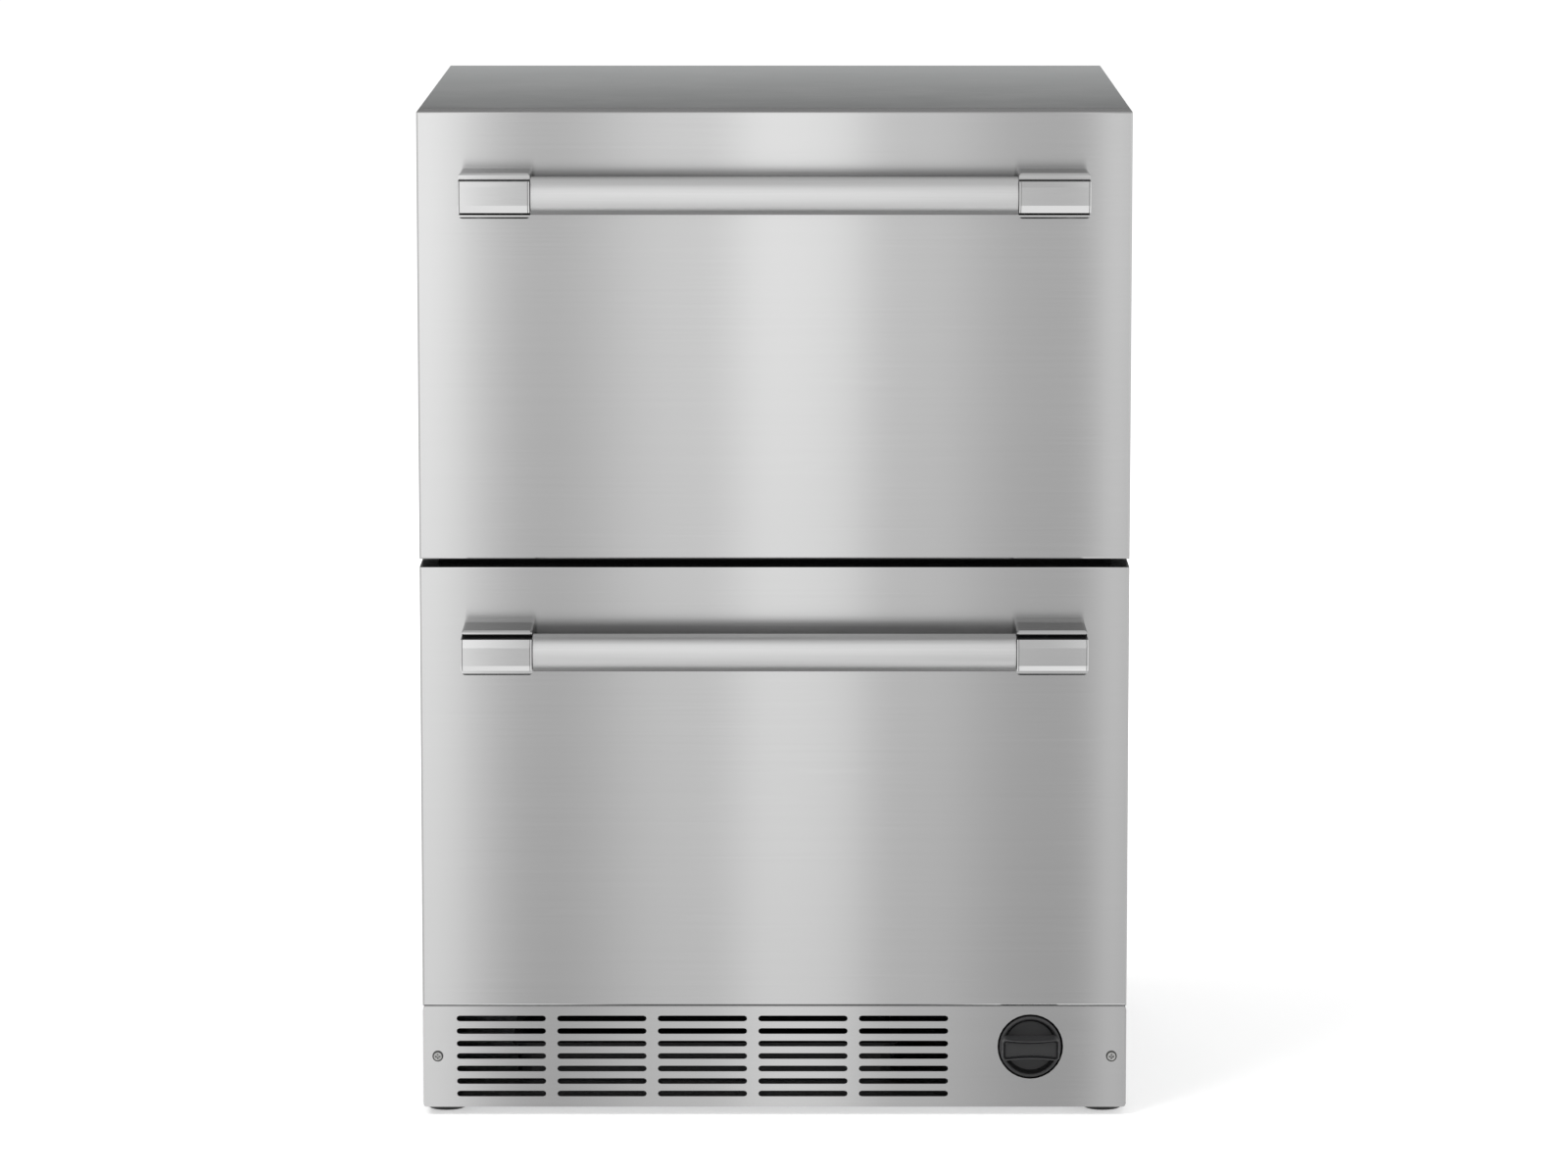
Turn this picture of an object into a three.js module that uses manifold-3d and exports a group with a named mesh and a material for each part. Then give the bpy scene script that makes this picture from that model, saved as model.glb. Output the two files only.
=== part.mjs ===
// Undercounter refrigerator with two full-extension drawers.
// Millimetres, +Z up, floor at z = 0, front towards -Y.
// The sub-parts are drawn with y = 0 on the face of the drawer fronts. The assembly is then
// moved so that its origin is at the middle of its base.

import * as THREE from 'three';
import { mergeVertices } from 'three/addons/utils/BufferGeometryUtils.js';
import Module from 'manifold-3d';

const wasm = await Module();
wasm.setup();

// ---------------------------------------------------------------- driving dimensions

// Whole appliance
const WIDTH = 606.4;
const HEIGHT = 866.8;
const DEPTH = 603; // face of the drawer fronts to the back of the cabinet
const SEAT = 0.3; // gap left between pieces that touch
const OVERLAP = 1; // how far two forms of one piece run into each other
const OVERCUT = 1; // how far a cutting form runs past the face that it opens

// Drawer fronts, kick plate and the lines between them
const FRONT_THICKNESS = 44.5;
const FRONT_SHEET = 1;
const FRONT_EDGE_RADIUS = 1.5;
const DRAWER_GAP = 6.7;
const KICK_SEAM = 1;
const KICK_HEIGHT = 88;
const KICK_BOTTOM = 7.5;
const KICK_SHEET = 1.2;
const KICK_CORNER_RADIUS = 3;
const KICK_RETURN = 18; // depth of its top and bottom returns
const KICK_EAR = 4; // width of those returns behind that depth

// Gasket, and the raised dyke of the inner door that it runs round
const GASKET_THICKNESS = 2.9;
const GASKET_WIDTH = 12;
const GASKET_OFFSET = 2; // outwards from the compartment opening
const GASKET_EDGE = 2.5; // thin margin on either side of its magnet strip
const GASKET_STEP = 1.2; // rise of the magnet strip above that margin
const DYKE_DEPTH = 14;
const DYKE_MARGIN = 6;
const DYKE_TOP_MARGIN = 26;
const DYKE_TAPER = 8;
const WELL_MARGIN = 32;
const WELL_DEPTH = 8;

// Grille in the kick plate
const SLOT_COLUMNS = 5;
const SLOT_ROWS = 7;
const SLOT_HEIGHT = 5;
const SLOT_BRIDGE = 9.6; // sheet left between two columns
const SLOT_ROW_PITCH = 11;
const SLOT_EDGE_MARGIN = 29; // first slot to the left edge
const SLOT_FILTER_MARGIN = 42.5; // last slot to the filter's opening
const GRILLE_RAISE = 0.7; // middle row above the middle of the plate

// Kick plate screws
const SCREW_INSET = 12.7;
const SCREW_HEAD_RADIUS = 4.7;
const SCREW_HEAD_HEIGHT = 2.2;
const SCREW_CROWN_RADIUS = 2.8;
const SCREW_CROWN_HEIGHT = 0.2;
const SCREW_SHANK_RADIUS = 2;
const SCREW_LENGTH = 16;
const SCREW_POINT = 1;
const SCREW_RECESS_DEPTH = 1.3;
const SCREW_RECESS_LENGTH = 4.6;
const SCREW_RECESS_WIDTH = 1.1;

// Handles
const BAR_RADIUS = 16;
const BAR_CHAMFER = 0.6;
const BAR_STANDOFF = 44.2; // bar axis to the drawer front
const HANDLE_DROP = 67.4; // bar axis below the top of its front
const SPIGOT_RADIUS = 9;
const SPIGOT_LENGTH = 15;
const BRACKET_LENGTH = 60.2;
const BRACKET_SIDE_GAP = 37.5; // its outer end to the side of the front
const BRACKET_HEIGHT = 38.4;
const BRACKET_BLOCK_REACH = 47;
const BRACKET_BLOCK_EASE = 1.6;
const BRACKET_NOSE_REACH = 63.3;
const BRACKET_NOSE_HEIGHT = 26.4;
const BRACKET_NOSE_RADIUS = 7.5;
const BRACKET_GROOVE = 2.9;
const BRACKET_GROOVE_DEPTH = 13;
const BRACKET_LINE = 0.8;
const BRACKET_LINE_DEPTH = 1.6;
const BRACKET_CORNER = 3;
const BRACKET_END_CHAMFER = 1.6;

// Cabinet
const SHELL_SHEET = 1;
const SHELL_LIP = 14; // return round the front of the shell
const SHELL_RETURN = 10; // return under its sides
const WALL = 40; // outside of the cabinet to the inside of a compartment
const BACK_WALL = 45;
const MULLION = 44; // between the two compartments
const MULLION_TRIM = 20;
const MULLION_RIB = 9;
const LINER = 2;
const LINER_RADIUS = 12;
const DUCT_WIDTH = 120;
const DUCT_DEPTH = 34;
const DUCT_INSET = 14;

// Base and machine compartment
const BASE_TOP = 98;
const MACHINE_DEPTH = 185;
const MACHINE_TOP = 300;
const NICHE_STEP = 34; // roof of the machine compartment to the floor of the niche above
const PAN_SHEET = 1.5;
const PAN_FLANGE = 32;
const APRON_TUCK = 4; // how far the pan's front strip runs under the cabinet
const TAB_WIDTH = 18;
const TAB_HEIGHT = 66;

// Louvres in the cover of the machine compartment
const LOUVRE_ROWS = 5;
const LOUVRE_HEIGHT = 7;
const LOUVRE_PITCH = 20;
const LOUVRE_MARGIN = 76.6; // ends of a louvre to the middle and to the side
const LOUVRE_TOP_MARGIN = 30;

// Levelling feet
const FOOT_RADIUS = 17;
const FOOT_INSET_X = 18.8;
const FOOT_INSET_Y = 37;
const FOOT_PAD_HEIGHT = 4.5;
const FOOT_CHAMFER = 1.2;
const FOOT_HEX_RADIUS = 8;
const FOOT_STEM_RADIUS = 5;
const FOOT_STEM_TOP = 62;
const BUSH_WALL = 5;
const BUSH_HEIGHT = 14;

// Telescopic slides
const SLIDE_DEPTH = 12.7;
const SLIDE_HEIGHT = 45;
const SLIDE_SHEET = 1.2;
const SLIDE_CLEARANCE = 0.5;
const SLIDE_RISE = 66; // centre of the slide above the compartment floor
const SLIDE_BACK_GAP = 14; // end of the slide to the back of the compartment

// Bins
const BIN_WALL = 2.5;
const BIN_RADIUS = 14;
const BIN_RIM = 6;
const BIN_RIM_THICKNESS = 3;
const BIN_FLOOR_GAP = 8;
const BIN_BACK_GAP = 10;
const UPPER_BIN_HEADROOM = 90.15; // bin's rim to the compartment's ceiling
const LOWER_BIN_HEADROOM = 143.65;

// Water filter behind the kick plate
const FILTER_INSET = 82.7;
const FILTER_Z = 60.5;
const CAP_HOLE_RADIUS = 28.3;
const CAP_CLEARANCE = 1.7; // between the cap and the edge of its hole
const CAP_DEPTH = 20;
const CAP_RIM_WIDTH = 3.6;
const CAP_RIM_PROUD = 1.5;
const CAP_CHAMFER = 0.8;
const CAP_DISH_DEPTH = 5;
const CAP_DISH_EDGE = 2.4;
const GRIP_LENGTH = 49;
const GRIP_HEIGHT = 18.3;
const GRIP_WAIST = 1.4;
const GRIP_CORNER = 3;
const GRIP_REACH = 16;
const GRIP_RIM = 1.6;
const GRIP_RECESS = 3;
const CARTRIDGE_RADIUS = 24;
const CARTRIDGE_LENGTH = 190;
const CARTRIDGE_SHOULDER = 6;
const CARTRIDGE_CHAMFER = 2;
const CARTRIDGE_NECK_RADIUS = 11;
const CARTRIDGE_NECK_LENGTH = 22;
const FILTER_HEAD_DEPTH = 44;
const FILTER_HEAD_RADIUS = 26;
const SADDLE_WIDTH = 40;
const SADDLE_INSET = 4;
const PORT_RADIUS = 4;
const PORT_LENGTH = 14;
const PORT_SPACING = 24;

// Water valve and power inlet in the cover
const VALVE_INSET = 53.2;
const VALVE_Z = 215;
const VALVE_WIDTH = 34;
const VALVE_HEIGHT = 28;
const VALVE_DEPTH = 34;
const VALVE_COIL_RADIUS = 13;
const VALVE_COIL_HEIGHT = 30;
const VALVE_OUTLET_LENGTH = 26;
const VALVE_NIPPLE_RADIUS = 8;
const INLET_INSET = 53.2;
const INLET_Z = 45;
const INLET_WIDTH = 28;
const INLET_HEIGHT = 22;
const INLET_DEPTH = 26;
const INLET_FLANGE = 5;
const INLET_WALL = 2;
const INLET_BACK = 8; // solid behind its recess
const PIN_WIDTH = 2;
const PIN_HEIGHT = 6;
const PIN_PITCH = 7;
const PIN_SETBACK = 6;

// Compressor
const COMPRESSOR_WIDTH = 184;
const COMPRESSOR_DEPTH = 144;
const COMPRESSOR_HEIGHT = 165;
const COMPRESSOR_GAP = 36.2; // its plate to the side of the cabinet
const CAN_DOME = 55;
const CAN_SEAM_HEIGHT = 8;
const CAN_SEAM_PROUD = 2.8;
const PLATE_TOP = 10;
const PLATE_SHEET = 3;
const PLATE_MARGIN = 10;
const GROMMET_RADIUS = 9;
const GROMMET_INSET = 12;
const STUB_RADIUS = 4;
const STUB_SPACING = 60;
const STUB_HEIGHT = 20;

// Finned coils
const CONDENSER_LENGTH = 110;
const CONDENSER_DEPTH = 150;
const CONDENSER_HEIGHT = 130;
const CONDENSER_GAP = 30.2; // its fins to the side of the cabinet
const EVAPORATOR_MARGIN = 83.2; // its ends to the compartment's walls
const EVAPORATOR_DEPTH = 80;
const EVAPORATOR_BACK_GAP = 10;
const EVAPORATOR_HEADROOM = 14;
const FIN_COUNT = 7;
const FIN_THICKNESS = 0.8;
const COIL_ROWS = 3;
const COIL_ROW_MARGIN = 18; // outer rows to the edge of the fins
const COIL_OVERRUN = 6; // tubes beyond the outer fins
const COIL_TUBE_RADIUS = 4;
const BEND_RADIUS = 3.8;

// Fans
const FAN_PLATE = 140;
const FAN_PLATE_THICKNESS = 18;
const FAN_PLATE_CORNER = 8;
const FAN_OPENING_RADIUS = 60;
const FAN_HUB_RADIUS = 19;
const FAN_TIP_CLEARANCE = 3;
const FAN_BLADES = 5;
const FAN_COIL_GAP = 65; // middle of the fan plate to the condenser's fins
const FAN_MOTOR_GAP = 4;
const FAN_MOTOR_LENGTH = 26;
const FAN_ARMS = 3;
const FAN_ARM = 6;
const FAN_ARM_SETBACK = 14;
const SHAFT_RADIUS = 2.5;
const BLADE_THICKNESS = 1.6;
const BLADE_PITCH = Math.PI / 6;
const BLADE_ROOT_SHARE = 0.16; // half widths of a blade, as shares of the rotor's radius
const BLADE_TIP_SHARE = 0.32;
const HUB_CHAMFER = 3;
const COLD_FAN_RADIUS = 45;
const COLD_FAN_HUB_RADIUS = 12;
const COLD_FAN_DEPTH = 12;
const COLD_FAN_SETBACK = 24; // its middle behind the back of the lower compartment
const COLD_MOTOR_RADIUS = 13;
const COLD_MOTOR_GAP = 4;
const COLD_MOTOR_LENGTH = 18;

// Cover in front of the evaporator
const COVER_SHEET = 2.5;
const COVER_DROP = 14; // below the floor of the niche
const COVER_SLOT_LENGTH = 70;
const COVER_SLOT_HEIGHT = 9;
const COVER_SLOT_PITCH = 22;
const COVER_SLOT_MARGIN = 78.2; // outer slots to the compartment's walls
const COVER_LEG = 4;
const COVER_LEG_GAP = 6; // legs beyond the tips of the fan's blades

// Drain pan
const DRAIN_PAN_WIDTH = 330;
const DRAIN_PAN_DEPTH = 210;
const DRAIN_PAN_HEIGHT = 34;
const DRAIN_PAN_WALL = 2;
const DRAIN_PAN_RIM = 5;
const DRAIN_PAN_CORNER = 12;
const DRAIN_PAN_GAP_X = 78.2; // its wall to the side of the cabinet
const DRAIN_PAN_GAP_Y = 95; // its wall to the face of the fronts

// Control strip and light bar under the upper ceiling
const CONTROL_SETBACK = 4;
const CONTROL_MARGIN = 133.2; // its ends to the compartment's walls
const CONTROL_DEPTH = 34;
const CONTROL_HEIGHT = 18;
const CONTROL_LIP = 8;
const CONTROL_NOSE = 6;
const LIGHT_SETBACK = 48;
const LIGHT_MARGIN = 83.2; // its ends to the compartment's walls
const LIGHT_DEPTH = 20;
const LIGHT_HEIGHT = 9;
const LIGHT_CHAMFER = 4;

// Ice maker
const ICE_INSET = 73.2; // its shaft to the compartment's wall
const ICE_FRONT = 150;
const ICE_LENGTH = 190;
const ICE_DROP = 46; // its shaft below the ceiling
const ICE_MOTOR_DEPTH = 34;
const MOULD_RADIUS = 30;
const MOULD_WALL = 4;
const MOULD_RISE = 4; // its walls above the shaft
const HANGER_SHEET = 3;
const EJECTOR_RADIUS = 4;
const EJECTOR_BEARING = 6;
const EJECTOR_CLEARANCE = 2;
const FINGER_COUNT = 6;
const FINGER_THICKNESS = 3;
const FINGER_WIDTH = 10;
const FINGER_CLEARANCE = 3;
const ARM_WIRE_RADIUS = 1.5;
const ARM_PIVOT_INSET = 6; // from the side of the mould
const ARM_PIVOT_RISE = 8;
const ARM_PIVOT_LENGTH = 22;
const ARM_REACH = 13; // sideways from its pivot
const ARM_DROP = 52;
const ARM_BEND = 12;
const ARM_END_GAP = 30; // short of the end of the mould
const ARM_STEPS = 30;

// Facets of the round forms
const COARSE_ROUND = 12;
const MEDIUM_ROUND = 20;
const ROUND = 32;
const CURVE_STEPS = 2;
const FINE_STEPS = 4;

// ---------------------------------------------------------------- derived places

const HALF = WIDTH / 2;
const FRONT_HEIGHT = (HEIGHT - KICK_BOTTOM - KICK_HEIGHT - KICK_SEAM - DRAWER_GAP) / 2;
const LOWER_FRONT_BOTTOM = KICK_BOTTOM + KICK_HEIGHT + KICK_SEAM;
const UPPER_FRONT_BOTTOM = LOWER_FRONT_BOTTOM + FRONT_HEIGHT + DRAWER_GAP;
const CABINET_FACE = FRONT_THICKNESS + GASKET_THICKNESS + 2 * SEAT;
const DYKE_BACK = FRONT_THICKNESS + DYKE_DEPTH;
const OPENING_HALF = HALF - WALL;
const INNER_HALF = HALF - SHELL_SHEET - SEAT; // what fits inside the shell
const INNER_BACK = DEPTH - SHELL_SHEET - SEAT;
const INSIDE_LIP = HALF - SHELL_LIP - SEAT;
const BRACKET_X = HALF - BRACKET_SIDE_GAP - BRACKET_LENGTH; // inner ends of the brackets
const MULLION_CENTRE = UPPER_FRONT_BOTTOM - DRAWER_GAP / 2;
const MACHINE_FACE = DEPTH - MACHINE_DEPTH;
const MACHINE_CENTRE = MACHINE_FACE + MACHINE_DEPTH / 2;
const NICHE_FLOOR = MACHINE_TOP + NICHE_STEP;
const PAN_BOTTOM = KICK_BOTTOM + KICK_SHEET + SEAT;
const PAN_TOP = PAN_BOTTOM + PAN_SHEET;
const GRILLE_CENTRE = KICK_BOTTOM + KICK_HEIGHT / 2 + GRILLE_RAISE;
const SCREW_X = HALF - SCREW_INSET;
const FILTER_X = HALF - FILTER_INSET;
const CAP_RADIUS = CAP_HOLE_RADIUS - CAP_CLEARANCE;
const CARTRIDGE_FRONT = CAP_DEPTH + SEAT;
const CARTRIDGE_BACK = CARTRIDGE_FRONT + CARTRIDGE_LENGTH;
const VALVE_X = -HALF + VALVE_INSET;
const INLET_X = HALF - INLET_INSET;
const MOULD_OUTER = MOULD_RADIUS + MOULD_WALL;

const UPPER = {
  name: 'upper',
  frontBottom: UPPER_FRONT_BOTTOM,
  floor: MULLION_CENTRE + MULLION / 2,
  ceiling: HEIGHT - WALL,
  back: DEPTH - BACK_WALL,
  headroom: UPPER_BIN_HEADROOM,
  grooveSide: -1, // the handle brackets' groove faces down
};

const LOWER = {
  name: 'lower',
  frontBottom: LOWER_FRONT_BOTTOM,
  floor: BASE_TOP + WALL,
  ceiling: MULLION_CENTRE - MULLION / 2,
  back: MACHINE_FACE - WALL,
  headroom: LOWER_BIN_HEADROOM,
  grooveSide: 1, // the same brackets, turned over
};

const COLD_FAN_Y = LOWER.back + COLD_FAN_SETBACK;
const COLD_FAN_Z = (NICHE_FLOOR + LOWER.ceiling) / 2;

// ---------------------------------------------------------------- solids

/** Solid that can be joined and cut, from a closed geometry. */
function toSolid(geometry) {
  const bare = geometry.clone();
  bare.deleteAttribute('normal');
  bare.deleteAttribute('uv');
  const merged = mergeVertices(bare, 1e-4);
  const index = merged.index.array;
  const triangles = [];
  for (let i = 0; i < index.length; i += 3) {
    const [a, b, c] = index.slice(i, i + 3);
    if (a !== b && b !== c && c !== a) triangles.push(a, b, c);
  }
  return new wasm.Manifold(new wasm.Mesh({
    numProp: 3,
    vertProperties: new Float32Array(merged.attributes.position.array),
    triVerts: new Uint32Array(triangles),
  }));
}

/** Geometry of a joined or cut solid. */
function toGeometry(solid) {
  const mesh = solid.getMesh();
  const geometry = new THREE.BufferGeometry();
  geometry.setAttribute('position', new THREE.BufferAttribute(mesh.vertProperties, 3));
  geometry.setIndex(new THREE.BufferAttribute(mesh.triVerts, 1));
  return geometry;
}

function combine(operation, first, others) {
  const result = others.reduce((sum, other) => sum[operation](toSolid(other)), toSolid(first));
  return toGeometry(result);
}

const join = (first, ...others) => combine('add', first, others);
const cut = (first, ...others) => combine('subtract', first, others);
const common = (first, ...others) => combine('intersect', first, others);

/** Box between two values on each axis. */
function block([x0, x1], [y0, y1], [z0, z1]) {
  const geometry = new THREE.BoxGeometry(x1 - x0, y1 - y0, z1 - z0);
  return geometry.translate((x0 + x1) / 2, (y0 + y1) / 2, (z0 + z1) / 2);
}

/** Closed outline through corner points, with every corner rounded where a radius is given. */
function outline(corners, radius = 0) {
  const points = corners.map(([u, v]) => new THREE.Vector2(u, v));
  if (!radius) return new THREE.Shape(points);
  const shape = new THREE.Shape();
  points.forEach((corner, i) => {
    const before = points.at(i - 1).clone().sub(corner).setLength(radius).add(corner);
    const after = points[(i + 1) % points.length].clone().sub(corner).setLength(radius).add(corner);
    if (i) shape.lineTo(before.x, before.y);
    else shape.moveTo(before.x, before.y);
    shape.quadraticCurveTo(corner.x, corner.y, after.x, after.y);
  });
  shape.closePath();
  return shape;
}

/** Rectangle between two values on each axis, with rounded corners where a radius is given. */
function rectangle([u0, u1], [v0, v1], radius = 0) {
  return outline([[u0, v0], [u1, v0], [u1, v1], [u0, v1]], radius);
}

/** Corners of a sheet folded along a line of points; the thickness lies to the line's left. */
function foldedSheet(line, thickness) {
  const points = line.map(([u, v]) => new THREE.Vector2(u, v));
  const normals = points.slice(1).map((point, i) => {
    const along = point.clone().sub(points[i]).normalize();
    return new THREE.Vector2(-along.y, along.x);
  });
  const far = points.map((point, i) => {
    const before = normals[Math.max(i - 1, 0)];
    const after = normals[Math.min(i, normals.length - 1)];
    const mitre = before.clone().add(after).divideScalar(1 + before.dot(after));
    return point.clone().addScaledVector(mitre, thickness);
  });
  return [...points, ...far.reverse()].map((point) => [point.x, point.y]);
}

function extrude(shape, length, axes, curveSegments) {
  const options = { depth: length, bevelEnabled: false, curveSegments };
  const geometry = new THREE.ExtrudeGeometry(shape, options);
  return geometry.applyMatrix4(new THREE.Matrix4().makeBasis(...axes));
}

const X = new THREE.Vector3(1, 0, 0);
const Y = new THREE.Vector3(0, 1, 0);
const Z = new THREE.Vector3(0, 0, 1);

/** Prism along X of an outline in y and z. */
function alongX(shape, x0, x1, curveSegments = CURVE_STEPS) {
  return extrude(shape, x1 - x0, [Y, Z, X], curveSegments).translate(x0, 0, 0);
}

/** Prism along Y of an outline in x and z. */
function alongY(shape, y0, y1, curveSegments = CURVE_STEPS) {
  return extrude(shape, y1 - y0, [X, Z, Y.clone().negate()], curveSegments).translate(0, y1, 0);
}

/** Prism along Z of an outline in x and y. */
function alongZ(shape, z0, z1, curveSegments = CURVE_STEPS) {
  return extrude(shape, z1 - z0, [X, Y, Z], curveSegments).translate(0, 0, z0);
}

/** Body turned about an axis; its profile of [radius, height] runs from low to high. */
function revolve(profile, axis, segments = ROUND) {
  const points = profile.map(([radius, height]) => new THREE.Vector2(radius, height));
  const geometry = new THREE.LatheGeometry(points, segments);
  if (axis === 'x') geometry.rotateZ(-Math.PI / 2);
  if (axis === 'z') geometry.rotateX(Math.PI / 2);
  return geometry;
}

function rod(radius, low, high, axis, segments = ROUND) {
  return revolve([[0, low], [radius, low], [radius, high], [0, high]], axis, segments);
}

/** Round wire or tube along a smooth line of points. */
function wire(points, radius, steps, sides) {
  const section = new THREE.Shape();
  section.absarc(0, 0, radius, 0, 2 * Math.PI);
  const line = new THREE.CatmullRomCurve3(points.map((point) => new THREE.Vector3(...point)));
  return new THREE.ExtrudeGeometry(section, { steps, extrudePath: line, curveSegments: sides / 2 });
}

const range = (count) => Array.from({ length: count }, (_, i) => i);
const evenly = (count, low, high) => range(count).map((i) => low + (high - low) * i / (count - 1));

// ---------------------------------------------------------------- drawer fronts

/** Stainless wrap: a shallow tray of sheet, open at the back, with eased front edges. */
function frontPanel() {
  const face = rectangle([-HALF, HALF], [0, FRONT_HEIGHT]);
  const eased = new THREE.ExtrudeGeometry(face, {
    depth: FRONT_THICKNESS,
    bevelThickness: FRONT_EDGE_RADIUS,
    bevelSize: FRONT_EDGE_RADIUS,
    bevelOffset: -FRONT_EDGE_RADIUS,
    bevelSegments: 2,
  });
  eased.applyMatrix4(new THREE.Matrix4().makeBasis(X, Z, Y.clone().negate()));
  eased.translate(0, FRONT_THICKNESS + FRONT_EDGE_RADIUS, 0);
  const inside = block(
    [-HALF + FRONT_SHEET, HALF - FRONT_SHEET],
    [FRONT_SHEET, 2 * FRONT_THICKNESS],
    [FRONT_SHEET, FRONT_HEIGHT - FRONT_SHEET],
  );
  const behind = block(
    [-WIDTH, WIDTH],
    [FRONT_THICKNESS, 2 * FRONT_THICKNESS],
    [-OVERCUT, FRONT_HEIGHT + OVERCUT],
  );
  return cut(eased, inside, behind);
}

/** Foam-filled inner door: fills the wrap and carries the raised dyke inside the gasket. */
function frontCore(drawer) {
  const margin = FRONT_SHEET + SEAT;
  const core = block(
    [-HALF + margin, HALF - margin],
    [margin, FRONT_THICKNESS],
    [margin, FRONT_HEIGHT - margin],
  );
  const low = drawer.floor - drawer.frontBottom + DYKE_MARGIN;
  const high = drawer.ceiling - drawer.frontBottom - DYKE_TOP_MARGIN;
  const half = OPENING_HALF - DYKE_MARGIN;
  const base = FRONT_THICKNESS - OVERLAP;
  const side = outline([
    [base, low], [DYKE_BACK, low + DYKE_TAPER],
    [DYKE_BACK, high - DYKE_TAPER], [base, high],
  ]);
  const plan = outline([
    [-half, base], [half, base],
    [half - DYKE_TAPER, DYKE_BACK], [-half + DYKE_TAPER, DYKE_BACK],
  ]);
  const dyke = common(alongX(side, -half, half), alongZ(plan, low, high));
  const wellHalf = half - WELL_MARGIN;
  const well = alongY(
    rectangle([-wellHalf, wellHalf], [low + WELL_MARGIN, high - WELL_MARGIN], LINER_RADIUS),
    DYKE_BACK - WELL_DEPTH,
    DYKE_BACK + OVERCUT,
  );
  return cut(join(core, dyke), well);
}

/** Gasket: a frame round the compartment opening, with a raised strip for its magnet. */
function gasket(drawer) {
  const low = drawer.floor - drawer.frontBottom;
  const high = drawer.ceiling - drawer.frontBottom;
  const frame = (grow, y0, y1) => alongY(
    rectangle([-OPENING_HALF - grow, OPENING_HALF + grow], [low - grow, high + grow], LINER_RADIUS),
    y0,
    y1,
  );
  const ring = (inner, outer, y0, y1) => cut(
    frame(outer, y0, y1),
    frame(inner, y0 - OVERCUT, y1 + OVERCUT),
  );
  const front = FRONT_THICKNESS + SEAT;
  const back = front + GASKET_THICKNESS;
  const inner = GASKET_OFFSET;
  const outer = GASKET_OFFSET + GASKET_WIDTH;
  return join(
    ring(inner, outer, front, back - GASKET_STEP),
    ring(inner + GASKET_EDGE, outer - GASKET_EDGE, front + OVERLAP, back),
  );
}

function handleBar() {
  const half = BRACKET_X - SEAT;
  const tip = half + SPIGOT_LENGTH;
  const eased = BAR_RADIUS - BAR_CHAMFER;
  return revolve([
    [0, -tip], [SPIGOT_RADIUS, -tip], [SPIGOT_RADIUS, -half], [eased, -half],
    [BAR_RADIUS, -half + BAR_CHAMFER], [BAR_RADIUS, half - BAR_CHAMFER], [eased, half],
    [SPIGOT_RADIUS, half], [SPIGOT_RADIUS, tip], [0, tip],
  ], 'x');
}

/**
 * Section of a handle bracket in y and z about the bar's axis: a square block behind, a
 * rounded nose in front, a deep groove with its lip on one side and a fine line on the other.
 */
function bracketSection(grooveSide) {
  const face = BAR_STANDOFF - SEAT;
  const blockHalf = BRACKET_HEIGHT / 2;
  const noseHalf = BRACKET_NOSE_HEIGHT / 2;
  const blockFront = BAR_STANDOFF - BRACKET_BLOCK_REACH;
  const noseFront = BAR_STANDOFF - BRACKET_NOSE_REACH;
  const grooveEnd = blockFront + BRACKET_GROOVE_DEPTH;
  const lineEnd = blockFront + BRACKET_LINE_DEPTH;
  const lineHalf = noseHalf + BRACKET_LINE;
  const grooveHalf = noseHalf + BRACKET_GROOVE;
  const ease = BRACKET_BLOCK_EASE;
  const noseCorner = (side) => evenly(2 * FINE_STEPS + 1, 0, Math.PI / 2).map((turn) => [
    noseFront + BRACKET_NOSE_RADIUS * (1 - Math.sin(turn)),
    side * (noseHalf - BRACKET_NOSE_RADIUS * (1 - Math.cos(turn))),
  ]);
  return outline([
    [face, -blockHalf], [blockFront + ease, -blockHalf], [blockFront, -blockHalf + ease],
    [blockFront, -grooveHalf], [grooveEnd, -grooveHalf], [grooveEnd, -noseHalf],
    ...noseCorner(-1),
    ...noseCorner(1).reverse(),
    [lineEnd, noseHalf], [lineEnd, lineHalf], [blockFront, lineHalf],
    [blockFront, blockHalf - ease], [blockFront + ease, blockHalf], [face, blockHalf],
  ].map(([y, z]) => [y, -grooveSide * z]));
}

/** Handle bracket about the bar's axis, from its inner end at x = 0 outwards to one side. */
function handleBracket(grooveSide, side) {
  const [x0, x1] = side > 0 ? [0, BRACKET_LENGTH] : [-BRACKET_LENGTH, 0];
  const half = BRACKET_HEIGHT / 2;
  const front = BAR_STANDOFF - BRACKET_NOSE_REACH;
  const corner = BRACKET_CORNER;
  const chamfer = BRACKET_END_CHAMFER;
  const elevation = outline([
    [x0 + corner, -half], [x1 - corner, -half], [x1, -half + corner], [x1, half - corner],
    [x1 - corner, half], [x0 + corner, half], [x0, half - corner], [x0, -half + corner],
  ]);
  const plan = outline([
    [x0, BAR_STANDOFF], [x0, front + chamfer], [x0 + chamfer, front],
    [x1 - chamfer, front], [x1, front + chamfer], [x1, BAR_STANDOFF],
  ]);
  const body = common(
    alongX(bracketSection(grooveSide), x0, x1),
    alongY(elevation, front - OVERCUT, BAR_STANDOFF + OVERCUT),
    alongZ(plan, -half, half),
  );
  const depth = SPIGOT_LENGTH + SEAT;
  const [low, high] = side > 0 ? [-OVERCUT, depth] : [-depth, OVERCUT];
  return cut(body, rod(SPIGOT_RADIUS + SEAT, low, high, 'x', MEDIUM_ROUND));
}

// ---------------------------------------------------------------- bins and slides

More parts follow.
